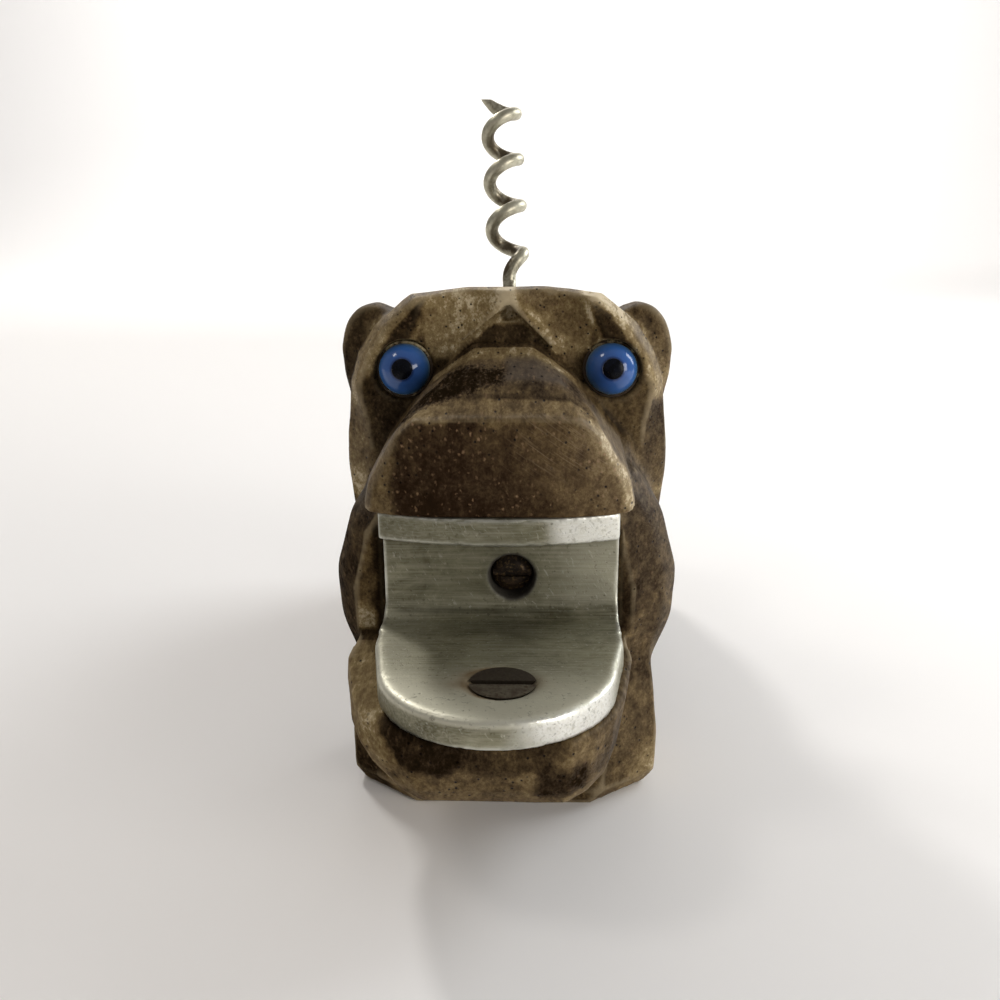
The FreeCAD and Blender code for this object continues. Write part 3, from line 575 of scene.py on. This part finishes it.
def storeWoodMaps(mesh, scaled, normals, fine, broad, atMetal):
    # what the material reads at each point: tone with painted light and shade, worn edges, dirt and painted
    # shade in the hollows, and where each finish lies
    x, y, z = wobbled(scaled).T
    facing = smoothStep(0.86, 0.94, -normals[:, 1])
    front = smoothStep(-38.4, -39.2, y)
    fromEye = np.hypot(np.abs(scaled[:, 0]) - eye["spread"], scaled[:, 2] - eye["height"])
    storeValue(mesh, "tone", toneOf(x, y, z, facing))
    # hands rub every edge, the left jowl, the brow and the back less, and none at the eyes or the front
    jowlLeft = (x < -18) * (y > -29) * (z < 48)
    onBrow = between(np.abs(x), 9, 19, 1.0) * between(z, 61, 71, 1.0) * (y < -8.5)
    sharp = np.where((y < -33) & (z < 46), 0.040, 0.0)
    wear = smoothStep(0.06, 0.16, sharp * (fine < -0.02) - fine) * (1.0 - atMetal)
    wear = wear * (1.0 - 0.75 * jowlLeft) * (1.0 - 0.8 * onBrow) * (1.0 - 0.65 * smoothStep(1, 6, y))
    wear = wear * (1.0 - front * (z < 52)) * np.where(y < -5, smoothStep(4.6, 6.5, fromEye), 1.0)
    storeValue(mesh, "edge_wear", wear)
    # painted shade and dirt darken every hollow, less in the brow and round the eyes
    inBrow = between(z, 61, 72, 1.0) * between(y, -16, -5, 0.5) * (np.abs(x) < 11)
    dirt_and_shade = np.clip(smoothStep(0.05, 0.30, fine) + smoothStep(0.3, 1.8, broad), 0, 1) * (1 - 0.75 * inBrow)
    dirt_and_shade = dirt_and_shade * np.where(y < -5, 0.35 + 0.65 * smoothStep(5.0, 6.5, fromEye), 1.0)
    storeValue(mesh, "dirt_and_shade", dirt_and_shade)
    storeValue(mesh, "dark_front", between(z, 44.0, 59.4, 0.9) * front * smoothStep(-15.4, -13.6, x))
    storeValue(mesh, "scratched", smoothStep(-2, 6, x) * smoothStep(50, 55, z) * smoothStep(-37, -38.5, y))
    dryTop = between(z, 58, 72, 1.0) * between(y, -38, -11.5, 1.0)
    storeValue(mesh, "matt", np.clip(dryTop + smoothStep(-8, -12, x) * smoothStep(44, 40, z), 0, 1))
    storeValue(mesh, "black_patch", blackPatch(x, y) * (z > 55) * (y < -14))
    storeValue(mesh, "grey_patch", between(x, 0.2, 9.0, 0.8) * between(y, -28, -18.5, 1.5) * (z > 55))


def makeWoodMaterial():
    # oiled walnut, carved and long handled: olive-brown heartwood with open pores that run front
    # to back, edges rubbed paler, and dirt, old wax and painted shade dark in the cuts
    material, tree, shader = newMaterial("carved walnut, oiled and handled")
    wear, dirt_and_shade = attributeOf(tree, "edge_wear"), attributeOf(tree, "dirt_and_shade")
    dark = attributeOf(tree, "dark_front")
    # growth bands 4 mm apart across the block and 60 mm long with the grain, finer streaks in them
    bands = noiseField(tree, (250, 16, 190), 5.0, 0.62, 0.8, (0, 18, 0))
    streaks = noiseField(tree, (1000, 90, 800), 4.0, 0.6, 0.4)
    blotches = noiseField(tree, (150, 90, 130), 6.0, 0.60, 0.9)
    mottle = noiseField(tree, (1100, 500, 900), 4.0, 0.7, 0.3)
    grain = noiseField(tree, (2600, 800, 2300), 3.0, 0.7)
    shade = attributeOf(tree, "tone")
    figures = ((bands, 0.3, 0.7, -0.12, 0.12), (streaks, 0.3, 0.7, -0.09, 0.09),
               (blotches, 0.34, 0.66, -0.11, 0.09), (mottle, 0.3, 0.7, -0.11, 0.11),
               (grain, 0.35, 0.65, -0.08, 0.08))
    for field, *limits in figures:
        shade = plus(tree, shade, reach(tree, field, *limits))
    # the dark wedge on the bridge, its outline frayed by noise
    specks = noiseField(tree, (2200, 1300, 1800), 3.0, 0.65)
    frayed = plus(tree, attributeOf(tree, "black_patch"), reach(tree, specks, 0.3, 0.7, -0.42, 0.42))
    shade = combine(tree, "SUBTRACT", shade, times(tree, reach(tree, frayed, 0.45, 1.0), 0.36))
    browns = colourRamp(tree, shade,
                        (0.0, "#1B140B"), (0.18, "#2A1F13"), (0.35, "#3E301C"), (0.52, "#56452A"),
                        (0.68, "#6F5C3B"), (0.84, "#8B7852"), (1.0, "#C4B494"))
    # a redder brown on the blunt front, greyer where the bridge is rubbed
    warmed = blendColour(tree, times(tree, dark, 0.12), browns, "#4C3224")
    greyed = blendColour(tree, times(tree, attributeOf(tree, "grey_patch"), 0.5), warmed, "#4F4740")
    worn = blendColour(tree, times(tree, wear, 0.5), greyed, "#A39375")
    # painted shade and dirt: the hollows are coloured near black
    dirtiedAndShaded = blendColour(tree, times(tree, dirt_and_shade, 0.75), worn, "#1A1108")
    pores = openPores(tree)
    pricked = blendColour(tree, pores, dirtiedAndShaded, "#0E0703")
    onFront = plus(tree, times(tree, dark, 0.75), 0.25)
    flecked = blendColour(tree, times(tree, paleFlecks(tree), onFront), pricked, "#9A7C5E")
    # hair scratches 0.2 mm wide and 4 mm long across the upper right of the front
    scratches = noiseField(tree, (4800, 400, 260), 2.0, 0.5, 0.0, (0, 56, 0))
    scratches = reach(tree, scratches, 0.54, 0.68, 0.0, 0.4)
    scratched = blendColour(tree, times(tree, scratches, attributeOf(tree, "scratched")), flecked, "#86735A")
    tree.links.new(scratched, shader.inputs["Base Color"])
    # an oiled sheen, duller in the darkened hollows and where the wood has dried out
    gloss = plus(tree, reach(tree, blotches, 0.3, 0.7, 0.52, 0.66), times(tree, dirt_and_shade, 0.2))
    gloss = plus(tree, gloss, times(tree, attributeOf(tree, "matt"), 0.35))
    tree.links.new(gloss, shader.inputs["Roughness"])
    tree.links.new(reach(tree, shade, 0.1, 0.8, 0.0, 0.28), shader.inputs["Specular IOR Level"])
    raised = plus(tree, reach(tree, streaks, 0.3, 0.7, 0.0, 0.25), reach(tree, mottle, 0.3, 0.7, 0.0, 0.4))
    sunk = plus(tree, pores, times(tree, scratches, 0.4))
    addBump(tree, shader, combine(tree, "SUBTRACT", raised, sunk), 0.7, 0.00012)
    return material


def openPores(tree):
    # open pores 0.3 mm wide, about 2 mm apart, drawn out along the grain, each of its own depth
    cells = addNode(tree, "ShaderNodeTexVoronoi", {}, {"Scale": 1.0},
                    {"Vector": objectPlace(tree, (900, 360, 900))})
    return times(tree, reach(tree, cells.outputs["Distance"], 0.09, 0.20, 1.0, 0.0),
                 reach(tree, cells.outputs["Color"], 0.15, 0.55, 0.0, 1.0))


def paleFlecks(tree):
    # pores that dust has filled: ragged pale flecks 0.3 mm across, about 1.5 mm apart
    cells = addNode(tree, "ShaderNodeTexVoronoi", {}, {"Scale": 1.0},
                    {"Vector": objectPlace(tree, (1300, 190, 1000), (0, 17, 0))})
    crumble = noiseField(tree, (3200, 1500, 2200), 3.0, 0.6)
    ragged = plus(tree, cells.outputs["Distance"], reach(tree, crumble, 0.3, 0.7, -0.16, 0.16))
    return times(tree, reach(tree, ragged, 0.04, 0.30, 1.0, 0.0),
                 reach(tree, cells.outputs["Color"], 0.26, 0.62, 0.0, 0.85))


plate = {
    "voxel": 0.28 * mm,
    "passes": 3,
    "nickDepth": 0.10 * mm,
    "screwAt": (-0.6, -54.0),           # middle of the lip screw, in mm
    "screwRadius": 4.3,                 # in mm
    "lipPasses": 24,
    "bendHeight": 29.9,                 # height of the dark line along the bend, in mm
}


def makeMouthPlate():
    # the bent strip with its edges rounded by wear, nicked where they are sharpest
    piece = softenedCopy("mouth_plate", "mouth_plate_worn", plate["voxel"], plate["passes"])
    mesh = piece.data
    points, pairs, counts = pointsAndPairs(mesh)
    low, high = (np.array(corner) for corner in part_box("mouth_plate"))
    # thumbs have rounded the lip's upper edge more than the rest
    rubbed = (points[:, 1] < -38 * mm) * (points[:, 2] > 27.0 * mm) * (points[:, 2] < 32.0 * mm) * 0.5
    for step in range(plate["lipPasses"]):
        points += rubbed[:, None] * (neighbourMean(points, pairs, counts) - points)
    normals = pointNormals(mesh)
    fine = reliefOf(points, normals, pairs, counts, 6)
    scaled = points / mm
    edge = smoothStep(0.03, 0.12, -fine)
    nicks = smoothStep(0.25, 0.8, latticeNoise(scaled, (1.3, 1.3, 1.3), 21)) \
        + 0.5 * smoothStep(0.3, 0.8, latticeNoise(scaled, (0.6, 0.6, 0.6), 22))
    dents = smoothStep(0.72, 0.95, latticeNoise(scaled, (2.2, 2.2, 2.2), 23))
    points -= normals * (plate["nickDepth"] * (edge * nicks + 0.35 * dents))[:, None]
    points = np.clip(points, low, high)
    mesh.vertices.foreach_set("co", points.ravel())
    mesh.update()
    normals = pointNormals(mesh)
    storePlateMaps(mesh, scaled, normals, reliefOf(points, normals, pairs, counts, 6))
    dress(piece, makeAluminiumMaterial(), ["mouth_plate"])


def storePlateMaps(mesh, scaled, normals, relief):
    # what the material reads at each point: rubbed edges, bare metal with painted highlight, painted light,
    # stains and painted shade, the dark hole wall and rust
    x, y, z = scaled.T
    wobble = latticeNoise(scaled, (2.0, 2.0, 2.0), 24) * 0.6
    holeLow, holeHigh = (np.array(corner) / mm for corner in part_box("back_screw"))
    holeMiddle = (holeLow + holeHigh) / 2
    fromHole = np.hypot(x - holeMiddle[0], z - holeMiddle[2])
    nearHole = (fromHole < 4.5) * (z > 32)
    wear = smoothStep(0.02, 0.13, -relief) * (1.0 - 0.8 * nearHole)
    storeValue(mesh, "edge_wear", wear * (1.0 - 0.45 * (z < 30.5) * smoothStep(-1.0, -9.0, x)))
    # bare, bright metal at the right end of the upper edge and round the right of the lip's edge, painted
    # near white as a highlight as well
    upperEdge = (y < -35.5) * (z > 40) * smoothStep(4.5, 8.5, x + wobble * 2)
    lipEdge = (z < 29.3) * (np.abs(normals[:, 2]) < 0.75) * smoothStep(0.0, 8.0, x + wobble * 2)
    lipEdge = lipEdge * (1 - smoothStep(13, 15.5, x))
    storeValue(mesh, "bare_and_highlight", np.clip(0.75 * upperEdge + lipEdge, 0, 1))
    # painted light: the lip's floor is coloured paler towards its front and its left, and the wall paler to
    # the right, as lit there
    litLipFloor = np.clip(smoothStep(-46, -60, y) + 0.3 * smoothStep(-8, -15, x), 0, 1)
    litWallRight = smoothStep(3, 12, x) * between(z, 31.0, 41.0, 1.0)
    storeValue(mesh, "pale", between(z, 28.0, 30.0, 0.3) * litLipFloor + 0.5 * litWallRight)
    # darker marks: a thin dark line in the bend with painted shade about it, painted shadow under the upper
    # edge, the band and the wall darker towards the left, and a stain round the hole
    fromBend = z - plate["bendHeight"] + wobble * 0.15
    thinLine = np.exp(-(fromBend / 0.28) ** 2) * between(x, -15.5, 9.5, 1.5)
    bend = (thinLine + 0.30 * np.exp(-(fromBend / 1.4) ** 2)) * between(y, -40, -31, 1.0)
    # painted shadow under the upper edge
    under = smoothStep(38.0, 42.0, z) * between(y, -36, -31, 1.0)
    onBand = (y < -35.5) * (z > 40) * (1 - smoothStep(2, 7, x))
    onWall = (y > -34) * smoothStep(30, 33, z) * (1 - smoothStep(2, 12, x))
    stain_and_shade = bend + 0.5 * under + 0.3 * nearHole + 0.62 * onBand + 0.25 * onWall
    storeValue(mesh, "stain_and_shade", np.clip(stain_and_shade, 0, 1))
    # the hole's inner wall is painted near black
    storeValue(mesh, "dark_hole_wall", smoothStep(3.85, 3.35, fromHole + wobble * 0.2) * (z > 30) * (y < -29))
    # rust has bled out of the lip screw, further to its left and right than to the front
    fromMiddle = x - plate["screwAt"][0]
    fromScrew = np.hypot(fromMiddle, y - plate["screwAt"][1]) - plate["screwRadius"]
    sideways = np.abs(fromMiddle) / (np.abs(fromScrew) + plate["screwRadius"])
    rust = np.exp(-np.clip(fromScrew, 0, None) / (0.3 + 1.3 * sideways ** 6)) * (z > 27.5) * (0.9 + wobble)
    storeValue(mesh, "rust", np.clip(rust, 0, 1))


def makeAluminiumMaterial():
    # aluminium strip, bent and filed, dulled greenish grey by oxide and beer, bright where caps and
    # fingers rub its edges
    material, tree, shader = newMaterial("aluminium, filed and oxidised")
    wear, stain_and_shade, rust = attributeOf(tree, "edge_wear"), attributeOf(tree, "stain_and_shade"), attributeOf(tree, "rust")
    # file lines 0.3 mm apart and 8 mm long across the strip, and short slanting scores over them
    brush = noiseField(tree, (120, 3300, 3300), 3.0, 0.6)
    scores = noiseField(tree, (2600, 2600, 700), 3.0, 0.6, 0.6, (0, 28, 0))
    patches = noiseField(tree, (160, 230, 230), 6.0, 0.66, 0.6)
    speckle = noiseField(tree, (1500, 1500, 1500), 4.0, 0.65)
    dull = blendColour(tree, reach(tree, patches, 0.36, 0.64), "#8C8971", "#5F5B44")
    # painted light: the lit parts of the lip's floor and of the wall are coloured pale
    pale = blendColour(tree, times(tree, attributeOf(tree, "pale"), 0.75), dull, "#D5D2BE")
    bare_and_highlight = times(tree, attributeOf(tree, "bare_and_highlight"), reach(tree, speckle, 0.32, 0.46, 0.55, 1.0))
    # painted highlight: the bare right ends are coloured near white
    bright = blendColour(tree, bare_and_highlight, pale, "#F6F6F0")
    lined = blendColour(tree, reach(tree, brush, 0.4, 0.7, 0.0, 0.35), bright, "#C2BEAA")
    scored = blendColour(tree, reach(tree, scores, 0.60, 0.72, 0.0, 0.45), lined, "#D9D6C6")
    pitted = blendColour(tree, reach(tree, speckle, 0.58, 0.70, 0.0, 0.6), scored, "#4E4733")
    # painted shade and stains are coloured dark olive here
    stainedAndShaded = blendColour(tree, times(tree, stain_and_shade, 0.5), pitted, "#3F3D2B")
    rub = times(tree, wear, reach(tree, patches, 0.3, 0.6, 0.85, 0.3))
    rubbed = blendColour(tree, rub, stainedAndShaded, "#E2E2D8")
    rusty = blendColour(tree, times(tree, rust, 0.9), rubbed, "#5E461F")
    # inside the hole its wall is painted near black
    dark_hole_wall = attributeOf(tree, "dark_hole_wall")
    tree.links.new(blendColour(tree, times(tree, dark_hole_wall, 0.92), rusty, "#1C140C"), shader.inputs["Base Color"])
    # the oxide scatters light like chalk; bare metal does not
    metallic = reach(tree, plus(tree, bare_and_highlight, wear), 0.0, 1.0, 0.55, 0.85)
    tree.links.new(times(tree, metallic, reach(tree, dark_hole_wall, 0.0, 1.0, 1.0, 0.1)), shader.inputs["Metallic"])
    polish = times(tree, combine(tree, "MAXIMUM", wear, bare_and_highlight), 0.12)
    gloss = combine(tree, "SUBTRACT", reach(tree, patches, 0.3, 0.7, 0.40, 0.52), polish)
    dirt = combine(tree, "MAXIMUM", rust, dark_hole_wall)
    tree.links.new(plus(tree, gloss, times(tree, dirt, 0.4)), shader.inputs["Roughness"])
    raised = plus(tree, times(tree, brush, 0.6), times(tree, scores, 0.6))
    pits = reach(tree, speckle, 0.58, 0.70, 0.0, 0.8)
    addBump(tree, shader, combine(tree, "SUBTRACT", raised, pits), 0.5, 0.00006)
    return material


def makeScrewMaterial(name, pale, deep, rustColour, slotAt=None):
    # mild steel, browned by handling: dull patches, specks of rust and, behind the slot, painted shade
    material, tree, shader = newMaterial(name)
    patches = noiseField(tree, (450, 450, 450), 4.0, 0.65)
    grit = noiseField(tree, (2200, 2200, 2200), 3.0, 0.6)
    base = blendColour(tree, reach(tree, patches, 0.4, 0.62), pale, deep)
    rusty = blendColour(tree, reach(tree, grit, 0.52, 0.68, 0.0, 0.8), base, rustColour)
    if slotAt is not None:
        place = addNode(tree, "ShaderNodeSeparateXYZ", {}, {},
                        {"Vector": addNode(tree, "ShaderNodeTexCoord").outputs["Object"]})
        # painted shade: the head's far half, behind the slot, is coloured dark
        behind = reach(tree, place.outputs["Y"], slotAt - 0.8 * mm, slotAt - 0.3 * mm, 0.0, 0.75)
        rusty = blendColour(tree, behind, rusty, "#2B2218")
    tree.links.new(rusty, shader.inputs["Base Color"])
    shader.inputs["Metallic"].default_value = 0.6
    tree.links.new(reach(tree, patches, 0.35, 0.65, 0.42, 0.65), shader.inputs["Roughness"])
    addBump(tree, shader, grit, 0.5, 0.00006)
    return material


def dressScrews():
    # the screws keep their solids
    slotAt = plate["screwAt"][1] * mm
    lip = makeScrewMaterial("mild steel, browned", "#6A6354", "#463C2F", "#3A2616", slotAt)
    wall = makeScrewMaterial("mild steel, rusted and dirty", "#3B2D20", "#1D150D", "#75603F")
    for node, material in (("lip_screw", lip), ("back_screw", wall)):
        for slot in bpy.data.objects[node].material_slots:
            slot.material = material


# in mm and degrees; depths are measured out from the face of the wood
eye = {
    "spread": 16.0, "height": 61.4, "face": 13.0, "tilt": 10.0,
    "radius": 4.0, "domeMiddle": -1.3, "back": -1.9, "hollowRadius": 3.2,
    "pupilRadius": 1.55, "pocketDepth": 0.4, "lensDepth": 0.8, "lensProud": 0.01,
    "socketRadius": 4.46, "puttyInner": 3.86, "puttyMiddle": -1.45, "puttyHalfHeight": 0.45,
    "crumbRing": 4.2, "crumbHeight": 0.22, "lumpHeight": 0.25,
}
# angle from the top of the dome down to the pupil's edge
pupilEdge = math.asin(eye["pupilRadius"] / eye["radius"])


def eyePlace(side):
    # local Z points out of the face, tipped up a little
    turn = Matrix.Rotation(math.radians(90 - eye["tilt"]), 4, "X")
    return Matrix.Translation((side * eye["spread"] * mm, -eye["face"] * mm, eye["height"] * mm)) @ turn


def domeProfile(angle, middle):
    # an arc of the eye's sphere: radius out from the axis and height, at angles from the top
    return np.stack([eye["radius"] * np.sin(angle), middle + eye["radius"] * np.cos(angle)], axis=1)


def makeGlassDome(name, place, material):
    # a sphere's cap from the pupil's edge down to the putty, turned in and closed below
    dome = domeProfile(np.linspace(pupilEdge, math.radians(97), 44), eye["domeMiddle"])
    inner = [[eye["hollowRadius"], eye["back"]], [eye["pupilRadius"], eye["back"]],
             [eye["pupilRadius"], dome[0, 1] - eye["pocketDepth"]]]
    profile = np.concatenate([dome, inner])
    glass = gridPiece(name + "_glass", revolved(profile * mm, place, 96), wrapRows=True)
    found = pointsAndPairs(glass.data)[0]
    local = (found - np.array(place.translation)) @ np.array(place.to_3x3())
    storeValue(glass.data, "from_axis", np.hypot(local[:, 0], local[:, 1]) / mm)
    dress(glass, material, [name])


def makePupilLens(name, place, material):
    # a black lens in the pocket, its front a hair proud of the dome
    cap = domeProfile(np.linspace(0.0, pupilEdge * 0.985, 14), eye["domeMiddle"] + eye["lensProud"])
    under = cap[-1, 1] - eye["lensDepth"]
    profile = np.concatenate([cap, [[cap[-1, 0], under], [0.0, under]]])
    pupil = gridPiece(name + "_lens", revolved(profile * mm, place, 64))
    dress(pupil, material, [name])


def makePuttyRing(name, place, material, seed):
    # a ring with a rounded top whose height follows noise, like crumbled putty
    turn = np.linspace(0.0, 2 * math.pi, 160, endpoint=False)
    across = np.linspace(0.0, 2 * math.pi, 20, endpoint=False)[:, None]
    ring = np.stack([np.cos(turn), np.sin(turn), np.zeros_like(turn)], axis=1) * eye["crumbRing"]
    crumbs = latticeNoise(ring, (0.8, 0.8, 0.8), seed)
    lumps = latticeNoise(ring, (2.4, 2.4, 2.4), seed + 2)
    inner, outer = eye["puttyInner"], eye["socketRadius"] - 0.02
    radius = (inner + outer) / 2 + (outer - inner) / 2 * np.cos(across) * np.ones_like(turn)
    rise = eye["crumbHeight"] * crumbs + eye["lumpHeight"] * lumps
    upper = np.clip(np.sin(across), 0, 1)
    height = eye["puttyMiddle"] + eye["puttyHalfHeight"] * np.sin(across) + rise * upper
    local = np.stack([radius * np.cos(turn), radius * np.sin(turn), height], axis=-1) * mm
    points = local @ np.array(place.to_3x3()).T + np.array(place.translation)
    putty = gridPiece(name + "_ring", points, wrapRows=True)
    # crumbs catch the light along the ring's upper side
    storeValue(putty.data, "crumbs", (smoothStep(0.2, 0.8, np.sin(turn)) * np.ones_like(across)).ravel())
    dress(putty, material, [name])


def makeEyes():
    glass, pupil, putty = makeGlassMaterial(), makePupilMaterial(), makePuttyMaterial()
    for side, name, seed in ((-1, "left", 31), (1, "right", 37)):
        place = eyePlace(side)
        makeGlassDome(name + "_eye", place, glass)
        makePupilLens(name + "_pupil", place, pupil)
        makePuttyRing(name + "_eye_putty", place, putty, seed)


def makeGlassMaterial():
    # milky blue pressed glass over a white ground: soft deep blue, paler where the rim is thin,
    # wet-looking highlights
    material, tree, shader = newMaterial("blue pressed glass, polished")
    away = combine(tree, "DIVIDE", attributeOf(tree, "from_axis"), eye["radius"])
    blues = colourRamp(tree, away,
                       (0.385, "#060A18"), (0.43, "#1B3566"), (0.50, "#31589A"), (0.80, "#3562A6"),
                       (0.93, "#3A6499"), (0.97, "#54758F"), (1.0, "#7C8C9E"))
    cloud = noiseField(tree, (300, 300, 300), 3.0, 0.5)
    clouded = blendColour(tree, reach(tree, cloud, 0.35, 0.65, 0.0, 0.18), blues, "#264C8C")
    tree.links.new(clouded, shader.inputs["Base Color"])
    shader.inputs["Roughness"].default_value = 0.12
    shader.inputs["IOR"].default_value = 1.52
    shader.inputs["Subsurface Weight"].default_value = 0.12
    shader.inputs["Subsurface Radius"].default_value = (0.4, 0.6, 1.0)
    shader.inputs["Subsurface Scale"].default_value = 0.001
    return material


def makePupilMaterial():
    # black glass, fused in: nearly even, with a faint cloud of blue-black
    material, tree, shader = newMaterial("black pressed glass, polished")
    cloud = noiseField(tree, (900, 900, 900), 2.0)
    black = blendColour(tree, reach(tree, cloud, 0.4, 0.7), "#04050A", "#0B0E18")
    tree.links.new(black, shader.inputs["Base Color"])
    shader.inputs["Roughness"].default_value = 0.24
    shader.inputs["Specular IOR Level"].default_value = 0.12
    return material


def makePuttyMaterial():
    # linseed putty, yellowed and crumbling, most of it black with dirt
    material, tree, shader = newMaterial("linseed putty, crumbled and dirty")
    dirt = noiseField(tree, (420, 420, 420), 4.0, 0.7)
    clean = plus(tree, dirt, times(tree, attributeOf(tree, "crumbs"), 0.12))
    yellowed = blendColour(tree, reach(tree, clean, 0.58, 0.70), "#3A2C1C", "#A89A78")
    tree.links.new(yellowed, shader.inputs["Base Color"])
    shader.inputs["Roughness"].default_value = 0.85
    addBump(tree, shader, noiseField(tree, (3000, 3000, 3000), 3.0), 0.7, 0.0001)
    return material


# in mm and degrees; "exposed" and "buried" are lengths of the straight shank
worm = {
    "wireRadius": 1.3, "wormRadius": 3.0, "pitch": 10.3, "turns": 3.35, "wireSides": 32,
    "leadTurn": 0.3, "leadLength": 6.5, "exposed": 16.4, "buried": 14.0, "point": 3.0, "taper": 4.2,
    "place": (-0.2, 32.7, 54.0), "lean": 30.0, "sideLean": 3.5,
}


def wormMiddle(turn):
    # the lead-in, over which the radius grows from the axis, then a plain helix
    grown = np.clip((turn + worm["leadTurn"]) / worm["leadTurn"], 0.0, 1.0)
    radius = worm["wormRadius"] * grown * grown * (3 - 2 * grown)
    height = worm["exposed"] + worm["leadLength"] * grown + worm["pitch"] * np.clip(turn, 0.0, None)
    angle = 2 * math.pi * turn
    return np.stack([radius * np.cos(angle), radius * np.sin(angle), height], axis=1)


def wormLine():
    # the whole middle line: straight shank, lead-in, helix and a straight point, its bends evened
    shank = np.linspace(-worm["buried"], worm["exposed"], 30)[:-1]
    straight = np.stack([np.zeros_like(shank), np.zeros_like(shank), shank], axis=1)
    line = np.concatenate([straight, wormMiddle(np.linspace(-worm["leadTurn"], worm["turns"], 300))])
    ahead = line[-1] - line[-2]
    ahead /= np.linalg.norm(ahead)
    line = np.concatenate([line, line[-1] + ahead * np.linspace(0.1, worm["point"], 16)[:, None]])
    for step in range(2):
        line[1:-1] = (line[:-2] + 2 * line[1:-1] + line[2:]) / 4
    return line


def makeWorm():
    # a round section carried along the middle line, ground down to a point at the tip
    line = wormLine()
    along = np.gradient(line, axis=0)
    along /= np.linalg.norm(along, axis=1)[:, None]
    side = np.cross((1.0, 0.0, 0.0), along)
    side /= np.linalg.norm(side, axis=1)[:, None]
    other = np.cross(along, side)
    travelled = np.concatenate([[0.0], np.cumsum(np.linalg.norm(np.diff(line, axis=0), axis=1))])
    left = travelled[-1] - travelled
    thick = worm["wireRadius"] * np.clip(0.12 + 0.88 * np.sqrt(np.clip(left / worm["taper"], 0, 1)), 0, 1)
    turn = np.linspace(0.0, 2 * math.pi, worm["wireSides"], endpoint=False)
    ring = side[:, None] * np.cos(turn)[:, None] + other[:, None] * np.sin(turn)[:, None]
    points = line[:, None] + ring * thick[:, None, None]
    start, end = (np.repeat(pole[None, None], worm["wireSides"], axis=1) for pole in (line[0], line[-1]))
    points = np.concatenate([start, points, end])
    lean = Matrix.Rotation(-math.radians(worm["lean"]), 3, "X")
    sideLean = Matrix.Rotation(-math.radians(worm["sideLean"]), 3, "Y")
    points = points @ np.array(sideLean @ lean).T + np.array(worm["place"])
    low, high = (np.array(corner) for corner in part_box("corkscrew"))
    piece = gridPiece("corkscrew_worm", np.clip(points * mm, low, high))
    found = pointsAndPairs(piece.data)[0]
    axis = np.array(sideLean @ lean) @ np.array([0.0, 0.0, 1.0])
    offset = found / mm - np.array(worm["place"])
    fromAxis = np.linalg.norm(offset - (offset @ axis)[:, None] * axis, axis=1)
    storeValue(piece.data, "from_axis", fromAxis)
    dress(piece, makeWireMaterial(), ["corkscrew"])


def makeWireMaterial():
    # nickel-plated steel wire: plating rubbed bright outside, brown where it has gone inside the turns
    material, tree, shader = newMaterial("steel wire, nickel plated and tarnished")
    inside = reach(tree, attributeOf(tree, "from_axis"), 1.9, 3.6, 1.0, 0.0)
    patches = noiseField(tree, (260, 260, 260), 4.0, 0.65, 0.4)
    amount = times(tree, reach(tree, patches, 0.34, 0.6), plus(tree, inside, 0.35))
    mottle = noiseField(tree, (900, 900, 900), 3.0)
    plated = blendColour(tree, reach(tree, mottle, 0.3, 0.7), "#CFCBB6", "#B2AD98")
    tree.links.new(blendColour(tree, amount, plated, "#5C5240"), shader.inputs["Base Color"])
    shader.inputs["Metallic"].default_value = 0.8
    tree.links.new(reach(tree, patches, 0.3, 0.7, 0.28, 0.5), shader.inputs["Roughness"])
    addBump(tree, shader, noiseField(tree, (1800, 1800, 1800), 3.0), 0.3, 0.00005)
    return material


def dressStems():
    # iron wire, never polished
    material = makeScrewMaterial("soft iron wire", "#5C564C", "#3A342B", "#46301C")
    for node in ("left_eye_stem", "right_eye_stem"):
        for slot in bpy.data.objects[node].material_slots:
            slot.material = material


makeCarvedWood()
print("wood is carved")
makeMouthPlate()
dressScrews()
print("mouth is in")
makeEyes()
dressStems()
print("eyes are in")
makeWorm()
print("tail is on")
